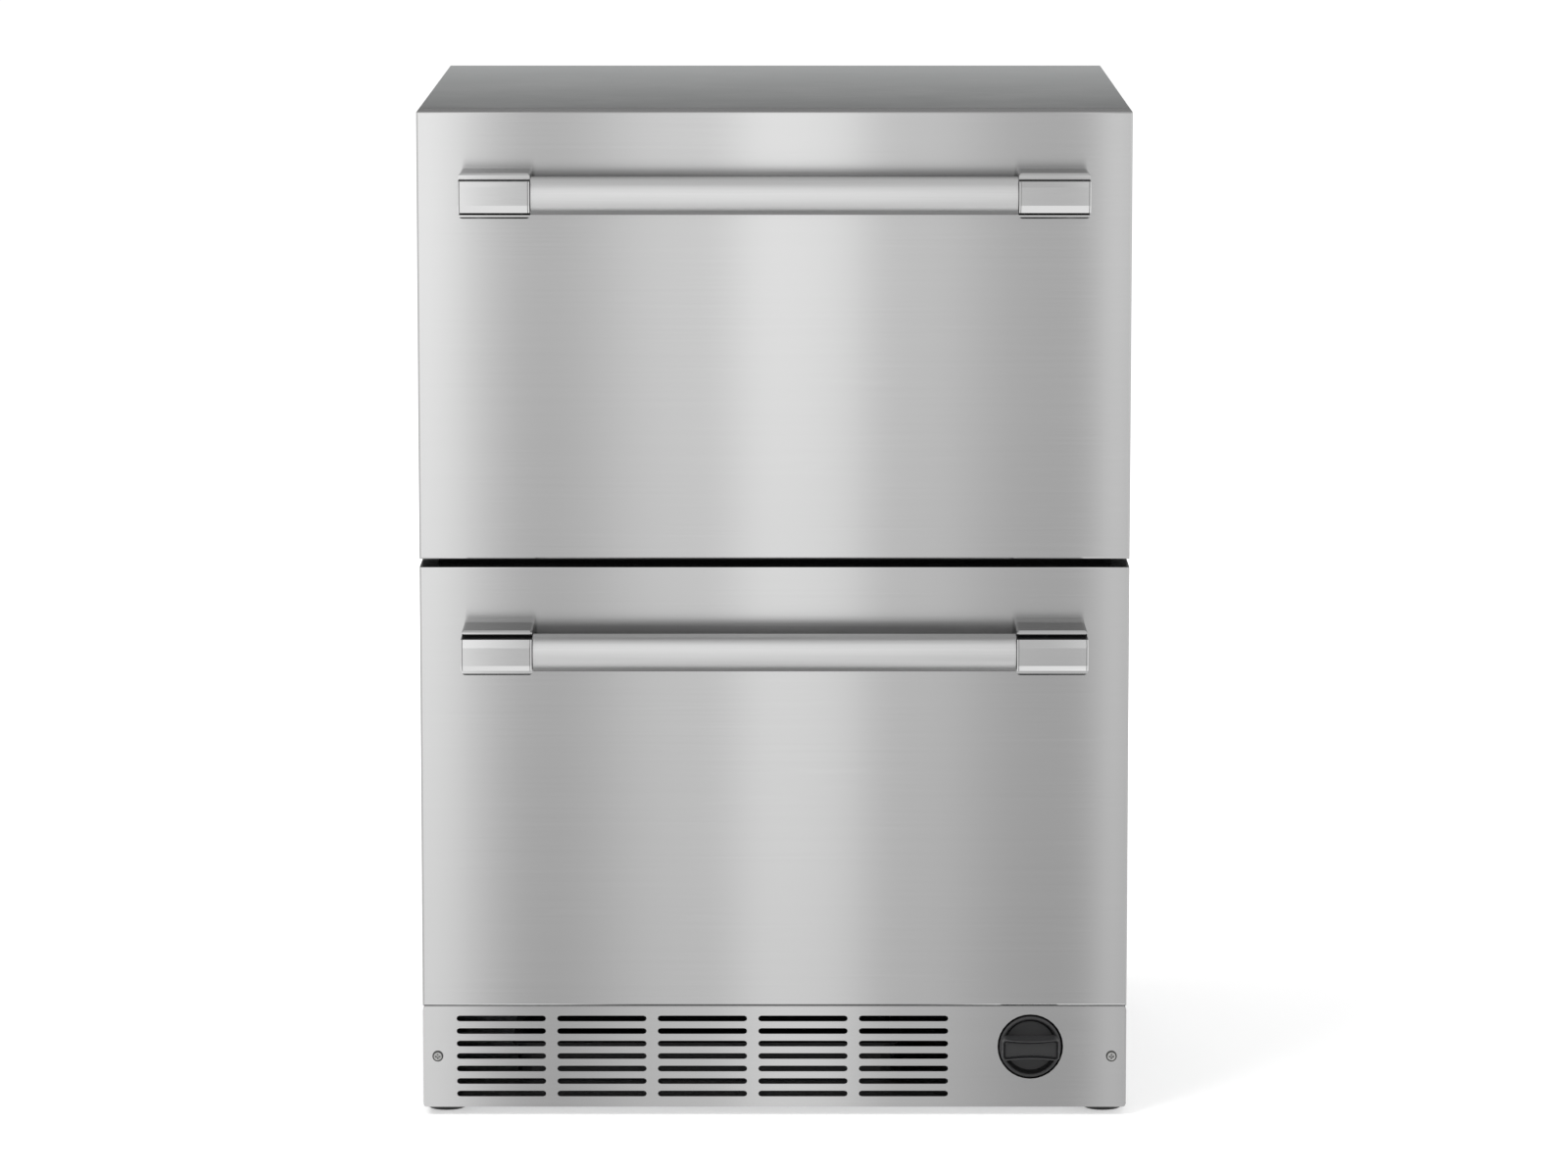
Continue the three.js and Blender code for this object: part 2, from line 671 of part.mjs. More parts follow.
/** Drawer bin: a deep tray with rounded corners and a rim all round. */
function bin(drawer) {
  const half = OPENING_HALF - SLIDE_DEPTH - 2 * SEAT;
  const front = DYKE_BACK + SEAT + BIN_RIM;
  const back = drawer.back - BIN_BACK_GAP;
  const bottom = drawer.floor + BIN_FLOOR_GAP;
  const top = drawer.ceiling - drawer.headroom;
  const tray = (grow, z0, z1) => alongZ(
    rectangle([-half - grow, half + grow], [front - grow, back + grow], BIN_RADIUS + grow),
    z0,
    z1,
    FINE_STEPS,
  );
  const body = join(tray(0, bottom, top), tray(BIN_RIM, top - BIN_RIM_THICKNESS, top));
  return cut(body, tray(-BIN_WALL, bottom + BIN_WALL, top + OVERCUT));
}

/**
 * Channel of a telescopic slide, given by distances from the compartment's wall: its web
 * starts at one of them, and its flanges end at the other.
 */
function slideChannel(drawer, side, web, flangeEnd, halfHeight) {
  const toRoom = Math.sign(flangeEnd - web);
  const wall = OPENING_HALF - SEAT;
  const centre = drawer.floor + SLIDE_RISE;
  const line = [
    [flangeEnd, centre + halfHeight], [web, centre + halfHeight],
    [web, centre - halfHeight], [flangeEnd, centre - halfHeight],
  ];
  const corners = foldedSheet(line, toRoom * SLIDE_SHEET).map(([d, z]) => [side * (wall - d), z]);
  return alongY(outline(corners), DYKE_BACK + SEAT, drawer.back - SLIDE_BACK_GAP - SEAT);
}

/** Distance from one channel of a slide to the next one inside it. */
const slideStep = SLIDE_SHEET + SLIDE_CLEARANCE;

const fixedRail = (drawer, side) => slideChannel(
  drawer,
  side,
  0,
  SLIDE_DEPTH - 2 * slideStep,
  SLIDE_HEIGHT / 2,
);

const middleSlide = (drawer, side) => slideChannel(
  drawer,
  side,
  slideStep,
  SLIDE_DEPTH - slideStep,
  SLIDE_HEIGHT / 2 - slideStep,
);

const runner = (drawer, side) => slideChannel(
  drawer,
  side,
  SLIDE_DEPTH,
  2 * slideStep,
  SLIDE_HEIGHT / 2 - 2 * slideStep,
);

// ---------------------------------------------------------------- cabinet

/** Outer wrap of the cabinet: top and sides in one sheet, with a lip round the front. */
function cabinetShell() {
  const line = [
    [HALF - SHELL_RETURN, KICK_BOTTOM], [HALF, KICK_BOTTOM], [HALF, HEIGHT],
    [-HALF, HEIGHT], [-HALF, KICK_BOTTOM], [-HALF + SHELL_RETURN, KICK_BOTTOM],
  ];
  const withoutReturns = line.slice(1, -1);
  return join(
    alongY(outline(foldedSheet(line, SHELL_SHEET)), CABINET_FACE, DEPTH),
    alongY(outline(foldedSheet(withoutReturns, SHELL_LIP)), CABINET_FACE, CABINET_FACE + SHELL_SHEET),
  );
}

/** Section of the lower compartment in y and z, with the evaporator's niche above its back. */
function lowerSection(grow, front) {
  return outline([
    [front, LOWER.floor - grow], [LOWER.back + grow, LOWER.floor - grow],
    [LOWER.back + grow, NICHE_FLOOR - grow], [UPPER.back + grow, NICHE_FLOOR - grow],
    [UPPER.back + grow, LOWER.ceiling + grow], [front, LOWER.ceiling + grow],
  ]);
}

function upperSection(grow) {
  return rectangle(
    [-OPENING_HALF - grow, OPENING_HALF + grow],
    [UPPER.floor - grow, UPPER.ceiling + grow],
    LINER_RADIUS + grow,
  );
}

/** Air passage from the evaporator's niche up through the mullion. */
function airDuct() {
  return block(
    [-DUCT_WIDTH / 2, DUCT_WIDTH / 2],
    [UPPER.back - DUCT_INSET - DUCT_DEPTH, UPPER.back - DUCT_INSET],
    [LOWER.ceiling - LINER, UPPER.floor + LINER],
  );
}

/** Foamed insulation between the shell and the liners. */
function insulation() {
  const step = SHELL_SHEET + SEAT;
  const front = CABINET_FACE + LINER + SEAT;
  const profile = outline([
    [front, BASE_TOP + step], [MACHINE_FACE - step, BASE_TOP + step],
    [MACHINE_FACE - step, MACHINE_TOP + step], [INNER_BACK, MACHINE_TOP + step],
    [INNER_BACK, HEIGHT - step], [front, HEIGHT - step],
  ]);
  const grow = LINER + SEAT;
  const half = OPENING_HALF + grow;
  return cut(
    alongX(profile, -INNER_HALF, INNER_HALF),
    alongY(upperSection(grow), CABINET_FACE, UPPER.back + grow),
    alongX(lowerSection(grow, CABINET_FACE), -half, half),
    airDuct(),
  );
}

/** Flange of a liner on the cabinet's face. */
function linerFlange(z0, z1) {
  return block([-INSIDE_LIP, INSIDE_LIP], [CABINET_FACE, CABINET_FACE + LINER], [z0, z1]);
}

function upperLiner() {
  const outside = alongY(upperSection(LINER), CABINET_FACE, UPPER.back + LINER);
  const flange = linerFlange(MULLION_CENTRE + MULLION_TRIM / 2 + SEAT, HEIGHT - SHELL_LIP - SEAT);
  const inside = alongY(upperSection(0), CABINET_FACE - OVERCUT, UPPER.back);
  return cut(join(outside, flange), inside, airDuct());
}

function lowerLiner() {
  const half = OPENING_HALF + LINER;
  const outside = alongX(lowerSection(LINER, CABINET_FACE), -half, half);
  const flange = linerFlange(BASE_TOP + SHELL_SHEET + SEAT, MULLION_CENTRE - MULLION_TRIM / 2 - SEAT);
  const inside = alongX(lowerSection(0, CABINET_FACE - OVERCUT), -OPENING_HALF, OPENING_HALF);
  return cut(join(outside, flange), inside, airDuct());
}

/** Black strip on the mullion, with a rib that closes the view between the two fronts. */
function mullionTrim() {
  const strip = block(
    [-INSIDE_LIP, INSIDE_LIP],
    [CABINET_FACE, CABINET_FACE + LINER],
    [MULLION_CENTRE - MULLION_TRIM / 2, MULLION_CENTRE + MULLION_TRIM / 2],
  );
  const rib = block(
    [-INSIDE_LIP, INSIDE_LIP],
    [FRONT_THICKNESS + SEAT, CABINET_FACE + OVERLAP],
    [MULLION_CENTRE - MULLION_RIB / 2, MULLION_CENTRE + MULLION_RIB / 2],
  );
  return join(strip, rib);
}

/** Folded sheet under the insulation: floor, front wall and roof of the machine compartment. */
function machineBulkhead() {
  const front = CABINET_FACE + SHELL_SHEET + SEAT;
  const line = [
    [front, BASE_TOP], [MACHINE_FACE, BASE_TOP],
    [MACHINE_FACE, MACHINE_TOP], [INNER_BACK, MACHINE_TOP],
  ];
  return alongX(outline(foldedSheet(line, SHELL_SHEET)), -INNER_HALF, INNER_HALF);
}

/** Flat sheet over the back of the insulation. */
function backPanel() {
  const step = SHELL_SHEET + SEAT;
  return block([-INNER_HALF, INNER_HALF], [DEPTH - SHELL_SHEET, DEPTH], [MACHINE_TOP + step, HEIGHT - step]);
}

/** Louvred cover over the machine compartment, with the openings for water and power. */
function machineCover() {
  const shape = rectangle([-INNER_HALF, INNER_HALF], [PAN_TOP + SEAT, MACHINE_TOP]);
  const length = HALF - 2 * LOUVRE_MARGIN;
  for (const row of range(LOUVRE_ROWS)) {
    const z = MACHINE_TOP - LOUVRE_TOP_MARGIN - row * LOUVRE_PITCH;
    shape.holes.push(slot(LOUVRE_MARGIN, z, length, LOUVRE_HEIGHT));
    shape.holes.push(slot(-LOUVRE_MARGIN - length, z, length, LOUVRE_HEIGHT));
  }
  const width = INLET_WIDTH / 2 + SEAT;
  const height = INLET_HEIGHT / 2 + SEAT;
  shape.holes.push(circle(VALVE_X, VALVE_Z, VALVE_NIPPLE_RADIUS + SEAT));
  shape.holes.push(rectangle([INLET_X - width, INLET_X + width], [INLET_Z - height, INLET_Z + height]));
  return alongY(shape, DEPTH - SHELL_SHEET, DEPTH);
}

/** Round-ended slot, from its left end. */
function slot(left, z, length, height) {
  const radius = height / 2;
  const path = new THREE.Path();
  path.absarc(left + radius, z, radius, Math.PI / 2, 3 * Math.PI / 2);
  path.absarc(left + length - radius, z, radius, -Math.PI / 2, Math.PI / 2);
  path.closePath();
  return path;
}

function circle(x, z, radius, sides = MEDIUM_ROUND) {
  const turns = range(sides).map((i) => i * 2 * Math.PI / sides);
  return new THREE.Path(turns.map((turn) => new THREE.Vector2(
    x + radius * Math.cos(turn),
    z + radius * Math.sin(turn),
  )));
}

// ---------------------------------------------------------------- base

/** Left edges of the grille's columns, between the left margin and the filter's opening. */
function grilleColumns() {
  const left = -HALF + SLOT_EDGE_MARGIN;
  const right = FILTER_X - CAP_HOLE_RADIUS - SLOT_FILTER_MARGIN;
  const pitch = (right - left + SLOT_BRIDGE) / SLOT_COLUMNS;
  return { starts: range(SLOT_COLUMNS).map((i) => left + i * pitch), length: pitch - SLOT_BRIDGE };
}

/** Perforated kick plate: grille, filter opening, screw holes and folded returns. */
function kickPlate() {
  const low = KICK_BOTTOM;
  const high = KICK_BOTTOM + KICK_HEIGHT;
  const depth = CABINET_FACE - SEAT;
  const face = rectangle([-HALF, HALF], [low, high], KICK_CORNER_RADIUS);
  const { starts, length } = grilleColumns();
  for (const row of range(SLOT_ROWS)) {
    const z = GRILLE_CENTRE + (row - (SLOT_ROWS - 1) / 2) * SLOT_ROW_PITCH;
    for (const left of starts) face.holes.push(slot(left, z, length, SLOT_HEIGHT));
  }
  for (const side of [-1, 1]) {
    face.holes.push(circle(side * SCREW_X, GRILLE_CENTRE, SCREW_SHANK_RADIUS + SEAT, COARSE_ROUND));
  }
  const opening = rod(CAP_HOLE_RADIUS, -OVERCUT, KICK_SHEET + OVERCUT, 'y').translate(FILTER_X, 0, FILTER_Z);
  const sheet = cut(alongY(face, 0, KICK_SHEET), opening);
  const outer = rectangle([-HALF, HALF], [low, high], KICK_CORNER_RADIUS);
  outer.holes.push(rectangle(
    [-HALF + KICK_SHEET, HALF - KICK_SHEET],
    [low + KICK_SHEET, high - KICK_SHEET],
    KICK_CORNER_RADIUS - KICK_SHEET,
  ));
  const rim = alongY(outer, KICK_SHEET / 2, depth);
  const relief = block(
    [-HALF + KICK_EAR, HALF - KICK_EAR],
    [KICK_RETURN, depth + OVERCUT],
    [0, high + OVERCUT],
  );
  return join(sheet, cut(rim, relief));
}

/** Pan-head screw with a cross recess, along Y through the kick plate into its tab. */
function kickScrew() {
  const crown = -SCREW_HEAD_HEIGHT + SCREW_CROWN_HEIGHT;
  const body = revolve([
    [0, -SCREW_HEAD_HEIGHT], [SCREW_CROWN_RADIUS, crown], [SCREW_HEAD_RADIUS, -SEAT],
    [SCREW_SHANK_RADIUS, -SEAT], [SCREW_SHANK_RADIUS, SCREW_LENGTH - SCREW_POINT], [0, SCREW_LENGTH],
  ], 'y', COARSE_ROUND);
  const reach = SCREW_RECESS_LENGTH / 2;
  const width = SCREW_RECESS_WIDTH / 2;
  const depth = [-SCREW_HEAD_HEIGHT - OVERCUT, -SCREW_HEAD_HEIGHT + SCREW_RECESS_DEPTH];
  return cut(
    body,
    block([-reach, reach], depth, [-width, width]),
    block([-width, width], depth, [-reach, reach]),
  );
}

const footPlaces = [
  ['front_left', -1, FOOT_INSET_Y],
  ['front_right', 1, FOOT_INSET_Y],
  ['rear_left', -1, DEPTH - FOOT_INSET_Y],
  ['rear_right', 1, DEPTH - FOOT_INSET_Y],
];

/** Base pan: folded tray with kick-plate tabs and a threaded bush over each foot. */
function basePan() {
  const front = KICK_SHEET + SEAT;
  const flangeTop = PAN_BOTTOM + PAN_FLANGE;
  const bushTop = PAN_TOP + BUSH_HEIGHT;
  const insideHalf = INNER_HALF - PAN_SHEET;
  const trayFront = CABINET_FACE + SHELL_SHEET + SEAT;
  const tray = cut(
    block([-INNER_HALF, INNER_HALF], [trayFront, INNER_BACK], [PAN_BOTTOM, flangeTop]),
    block([-insideHalf, insideHalf], [0, DEPTH], [PAN_TOP, flangeTop + OVERCUT]),
  );
  const apron = block([-INSIDE_LIP, INSIDE_LIP], [front, CABINET_FACE + APRON_TUCK], [PAN_BOTTOM, PAN_TOP]);
  const tabs = [-1, 1].map((side) => block(
    [side * SCREW_X - TAB_WIDTH / 2, side * SCREW_X + TAB_WIDTH / 2],
    [front, front + PAN_SHEET],
    [PAN_BOTTOM, PAN_BOTTOM + TAB_HEIGHT],
  ));
  const tabHoles = [-1, 1].map((side) => (
    rod(SCREW_SHANK_RADIUS + SEAT, 0, front + PAN_SHEET + OVERCUT, 'y', COARSE_ROUND)
      .translate(side * SCREW_X, 0, GRILLE_CENTRE)
  ));
  const upright = (radius, bottom, top) => footPlaces.map(([, side, y]) => (
    rod(radius, bottom, top, 'z', MEDIUM_ROUND).translate(side * (HALF - FOOT_INSET_X), y, 0)
  ));
  const bushes = upright(FOOT_STEM_RADIUS + BUSH_WALL, PAN_BOTTOM, bushTop);
  const bores = upright(FOOT_STEM_RADIUS + SEAT, 0, bushTop + OVERCUT);
  return cut(join(tray, apron, ...tabs, ...bushes), ...tabHoles, ...bores);
}

/** Levelling foot: pad, hexagon and stem. */
function levellingFoot() {
  const pad = revolve([
    [0, 0], [FOOT_RADIUS - FOOT_CHAMFER, 0], [FOOT_RADIUS, FOOT_CHAMFER],
    [FOOT_RADIUS, FOOT_PAD_HEIGHT], [FOOT_STEM_RADIUS, FOOT_PAD_HEIGHT],
    [FOOT_STEM_RADIUS, FOOT_STEM_TOP], [0, FOOT_STEM_TOP],
  ], 'z', MEDIUM_ROUND);
  return join(pad, rod(FOOT_HEX_RADIUS, FOOT_PAD_HEIGHT - OVERLAP, PAN_BOTTOM - SEAT, 'z', 6));
}

// ---------------------------------------------------------------- water filter and valve

/** Filter cap about its own axis, with a dished face and a waisted grip across it. */
function filterCap() {
  const dishRadius = CAP_RADIUS - CAP_RIM_WIDTH;
  const body = revolve([
    [0, CAP_DISH_DEPTH], [dishRadius - CAP_DISH_EDGE, CAP_DISH_DEPTH],
    [dishRadius, CAP_DISH_DEPTH - CAP_DISH_EDGE], [dishRadius, -CAP_RIM_PROUD + CAP_CHAMFER],
    [dishRadius + CAP_CHAMFER, -CAP_RIM_PROUD], [CAP_RADIUS - CAP_CHAMFER, -CAP_RIM_PROUD],
    [CAP_RADIUS, -CAP_RIM_PROUD + CAP_CHAMFER], [CAP_RADIUS, CAP_DEPTH], [0, CAP_DEPTH],
  ], 'y');
  const grip = alongY(waisted(0), -GRIP_REACH, CAP_DISH_DEPTH + OVERLAP, FINE_STEPS);
  const recess = alongY(waisted(GRIP_RIM), -GRIP_REACH - OVERCUT, -GRIP_REACH + GRIP_RECESS, FINE_STEPS);
  return cut(join(body, grip), recess);
}

/** Outline of the cap's grip, or one inside it: a rounded bar with hollow long edges. */
function waisted(inset) {
  const u = GRIP_LENGTH / 2 - inset;
  const v = GRIP_HEIGHT / 2 - inset;
  const corner = GRIP_CORNER - inset / 2;
  const pull = v - 2 * GRIP_WAIST;
  const shape = new THREE.Shape();
  shape.moveTo(-u + corner, -v);
  shape.quadraticCurveTo(0, -pull, u - corner, -v);
  shape.quadraticCurveTo(u, -v, u, -v + corner);
  shape.lineTo(u, v - corner);
  shape.quadraticCurveTo(u, v, u - corner, v);
  shape.quadraticCurveTo(0, pull, -u + corner, v);
  shape.quadraticCurveTo(-u, v, -u, v - corner);
  shape.lineTo(-u, -v + corner);
  shape.quadraticCurveTo(-u, -v, -u + corner, -v);
  return shape;
}

function waterFilter() {
  const neckEnd = CARTRIDGE_BACK + CARTRIDGE_NECK_LENGTH;
  const edge = CARTRIDGE_CHAMFER;
  return revolve([
    [0, CARTRIDGE_FRONT], [CARTRIDGE_RADIUS - edge, CARTRIDGE_FRONT],
    [CARTRIDGE_RADIUS, CARTRIDGE_FRONT + edge], [CARTRIDGE_RADIUS, CARTRIDGE_BACK - CARTRIDGE_SHOULDER],
    [CARTRIDGE_RADIUS - CARTRIDGE_SHOULDER, CARTRIDGE_BACK], [CARTRIDGE_NECK_RADIUS, CARTRIDGE_BACK],
    [CARTRIDGE_NECK_RADIUS, neckEnd - edge], [CARTRIDGE_NECK_RADIUS - edge, neckEnd], [0, neckEnd],
  ], 'y', MEDIUM_ROUND);
}

/** Fixed manifold that the filter's neck plugs into, on a saddle that stands on the pan. */
function filterHead() {
  const front = CARTRIDGE_BACK + SEAT;
  const back = front + FILTER_HEAD_DEPTH;
  const socketEnd = front + CARTRIDGE_NECK_LENGTH + SEAT;
  const ports = [-1, 1].map((side) => (
    rod(PORT_RADIUS, back - OVERLAP, back + PORT_LENGTH, 'y', COARSE_ROUND)
      .translate(side * PORT_SPACING / 2, 0, 0)
  ));
  const saddle = block(
    [-SADDLE_WIDTH / 2, SADDLE_WIDTH / 2],
    [front + SADDLE_INSET, back - SADDLE_INSET],
    [PAN_TOP + SEAT - FILTER_Z, 0],
  );
  const body = join(rod(FILTER_HEAD_RADIUS, front, back, 'y', MEDIUM_ROUND), saddle, ...ports);
  return cut(body, rod(CARTRIDGE_NECK_RADIUS + SEAT, front - OVERCUT, socketEnd, 'y', MEDIUM_ROUND));
}

/** Water valve: body, coil above, outlet below and a nipple that passes through the cover. */
function waterValve() {
  const half = VALVE_HEIGHT / 2;
  const middle = INNER_BACK - VALVE_DEPTH / 2;
  const body = block(
    [-VALVE_WIDTH / 2, VALVE_WIDTH / 2],
    [INNER_BACK - VALVE_DEPTH, INNER_BACK],
    [-half, half],
  );
  const coil = rod(VALVE_COIL_RADIUS, half - OVERLAP, half + VALVE_COIL_HEIGHT, 'z', MEDIUM_ROUND);
  const outlet = rod(PORT_RADIUS, -half - VALVE_OUTLET_LENGTH, -half + OVERLAP, 'z', COARSE_ROUND);
  const nipple = rod(VALVE_NIPPLE_RADIUS, INNER_BACK - OVERLAP, DEPTH, 'y', MEDIUM_ROUND);
  return join(body, coil.translate(0, middle, 0), outlet.translate(0, middle, 0), nipple);
}

/** Power inlet: a recessed socket with three pins, flush with the cover. */
function powerInlet() {
  const width = INLET_WIDTH / 2;
  const height = INLET_HEIGHT / 2;
  const front = INNER_BACK - INLET_DEPTH;
  const recessEnd = front + INLET_BACK;
  const frame = block(
    [-width - INLET_FLANGE, width + INLET_FLANGE],
    [front, INNER_BACK],
    [-height - INLET_FLANGE, height + INLET_FLANGE],
  );
  const mouth = block([-width, width], [INNER_BACK - OVERLAP, DEPTH], [-height, height]);
  const recess = block(
    [-width + INLET_WALL, width - INLET_WALL],
    [recessEnd, DEPTH + OVERCUT],
    [-height + INLET_WALL, height - INLET_WALL],
  );
  const pins = [-PIN_PITCH, 0, PIN_PITCH].map((x) => block(
    [x - PIN_WIDTH / 2, x + PIN_WIDTH / 2],
    [recessEnd - OVERLAP, INNER_BACK - PIN_SETBACK],
    [-PIN_HEIGHT / 2, PIN_HEIGHT / 2],
  ));
  return join(cut(join(frame, mouth), recess), ...pins);
}

// ---------------------------------------------------------------- cooling circuit

/** Compressor: an oval can with domed ends and a welded seam, on a plate with four feet. */
function compressor() {
  const radius = COMPRESSOR_WIDTH / 2;
  const wall = radius - CAN_SEAM_PROUD;
  const middle = (PLATE_TOP + COMPRESSOR_HEIGHT) / 2;
  const dome = (pole, edge) => evenly(FINE_STEPS + 1, 0, Math.PI / 2).map((turn) => [
    wall * Math.sin(turn),
    edge + (pole - edge) * Math.cos(turn),
  ]);
  const low = PLATE_TOP - PLATE_SHEET / 2;
  const can = revolve([
    ...dome(low, low + CAN_DOME),
    [wall, middle - CAN_SEAM_HEIGHT / 2], [radius, middle - CAN_SEAM_HEIGHT / 2],
    [radius, middle + CAN_SEAM_HEIGHT / 2], [wall, middle + CAN_SEAM_HEIGHT / 2],
    ...dome(COMPRESSOR_HEIGHT, COMPRESSOR_HEIGHT - CAN_DOME).reverse(),
  ], 'z', MEDIUM_ROUND).scale(1, COMPRESSOR_DEPTH / COMPRESSOR_WIDTH, 1);
  const plateHalf = radius + PLATE_MARGIN;
  const plateDeep = COMPRESSOR_DEPTH / 2;
  const plate = block([-plateHalf, plateHalf], [-plateDeep, plateDeep], [PLATE_TOP - PLATE_SHEET, PLATE_TOP]);
  const feet = [[-1, -1], [-1, 1], [1, -1], [1, 1]].map(([u, v]) => (
    rod(GROMMET_RADIUS, 0, PLATE_TOP - OVERLAP, 'z', COARSE_ROUND)
      .translate(u * (plateHalf - GROMMET_INSET), v * (plateDeep - GROMMET_INSET), 0)
  ));
  const stubs = [-1, 1].map((side) => (
    rod(STUB_RADIUS, middle, COMPRESSOR_HEIGHT + STUB_HEIGHT, 'z', COARSE_ROUND)
      .translate(side * STUB_SPACING / 2, 0, 0)
  ));
  return join(can, plate, ...feet, ...stubs);
}

/**
 * Finned coil standing on z = 0 along X: plates crossed by rows of tubes, with return bends
 * from row to row at alternating ends.
 */
function finnedCoil(length, depth, height) {
  const fins = evenly(FIN_COUNT, -length / 2, length / 2).map((x) => block(
    [x - FIN_THICKNESS / 2, x + FIN_THICKNESS / 2],
    [-depth / 2, depth / 2],
    [0, height],
  ));
  const tubeEnd = length / 2 + COIL_OVERRUN;
  const levels = evenly(COIL_ROWS, COIL_ROW_MARGIN, height - COIL_ROW_MARGIN);
  const tubes = levels.map((z) => rod(COIL_TUBE_RADIUS, -tubeEnd, tubeEnd, 'x', 6).translate(0, 0, z));
  const bends = levels.slice(1).map((z, i) => {
    const side = i % 2 ? -1 : 1;
    const reach = (z - levels[i]) / 2;
    const middle = (z + levels[i]) / 2;
    const arc = evenly(COARSE_ROUND / 2 + 1, -Math.PI / 2, Math.PI / 2).map((turn) => [
      side * (tubeEnd - OVERLAP + reach * Math.cos(turn)),
      0,
      middle + reach * Math.sin(turn),
    ]);
    return wire(arc, BEND_RADIUS, COARSE_ROUND / 2, 6);
  });
  return join(fins[0], ...tubes, ...fins.slice(1), ...bends);
}

const condenser = () => finnedCoil(CONDENSER_LENGTH, CONDENSER_DEPTH, CONDENSER_HEIGHT).rotateZ(Math.PI / 2);

const evaporator = () => finnedCoil(
  2 * (OPENING_HALF - EVAPORATOR_MARGIN),
  EVAPORATOR_DEPTH,
  LOWER.ceiling - NICHE_FLOOR - EVAPORATOR_HEADROOM,
);

/** Fan housing about its axis along X: square plate, throat, motor on arms, and shaft. */
function condenserFanHousing() {
  const half = FAN_PLATE / 2;
  const deep = FAN_PLATE_THICKNESS / 2;
  const plate = rectangle([-half, half], [-half, half], FAN_PLATE_CORNER);
  plate.holes.push(circle(0, 0, FAN_OPENING_RADIUS, ROUND));
  const motorFront = deep + FAN_MOTOR_GAP;
  const armBack = deep + FAN_ARM_SETBACK;
  const armHalf = FAN_ARM / 2;
  const ringEdge = FAN_OPENING_RADIUS + OVERLAP;
  const arms = range(FAN_ARMS).flatMap((i) => [
    block([armBack - FAN_ARM, armBack], [-armHalf, armHalf], [FAN_HUB_RADIUS - FAN_ARM, ringEdge + FAN_ARM]),
    block([deep - OVERLAP, armBack], [-armHalf, armHalf], [ringEdge, ringEdge + FAN_ARM]),
  ].map((bar) => bar.rotateX(i * 2 * Math.PI / FAN_ARMS)));
  return join(
    alongX(plate, -deep, deep),
    rod(FAN_HUB_RADIUS, motorFront, motorFront + FAN_MOTOR_LENGTH, 'x', MEDIUM_ROUND),
    rod(SHAFT_RADIUS, 0, motorFront + OVERLAP, 'x', COARSE_ROUND),
    ...arms,
  );
}

/** Fan rotor about Y: hub with a shaft bore, and pitched blades. */
function fanRotor(tipRadius, hubRadius, depth) {
  const hub = revolve([
    [0, -depth / 2], [hubRadius - HUB_CHAMFER, -depth / 2], [hubRadius, -depth / 2 + HUB_CHAMFER],
    [hubRadius, depth / 2], [0, depth / 2],
  ], 'y', COARSE_ROUND);
  const rootHalf = BLADE_ROOT_SHARE * tipRadius;
  const tipHalf = BLADE_TIP_SHARE * tipRadius;
  const shoulder = Math.sqrt(tipRadius ** 2 - tipHalf ** 2);
  const planform = new THREE.Shape();
  planform.moveTo(-rootHalf, hubRadius - HUB_CHAMFER);
  planform.lineTo(rootHalf, hubRadius - HUB_CHAMFER);
  planform.lineTo(tipHalf, shoulder);
  planform.quadraticCurveTo(0, tipRadius, -tipHalf, shoulder);
  const blades = range(FAN_BLADES).map((i) => {
    const blade = new THREE.ExtrudeGeometry(planform, {
      depth: BLADE_THICKNESS,
      bevelEnabled: false,
      curveSegments: CURVE_STEPS,
    });
    blade.translate(0, 0, -BLADE_THICKNESS / 2).rotateY(BLADE_PITCH).rotateX(Math.PI / 2);
    return blade.rotateY(i * 2 * Math.PI / FAN_BLADES);
  });
  return cut(join(hub, ...blades), rod(SHAFT_RADIUS + SEAT, -depth, depth, 'y', COARSE_ROUND));
}

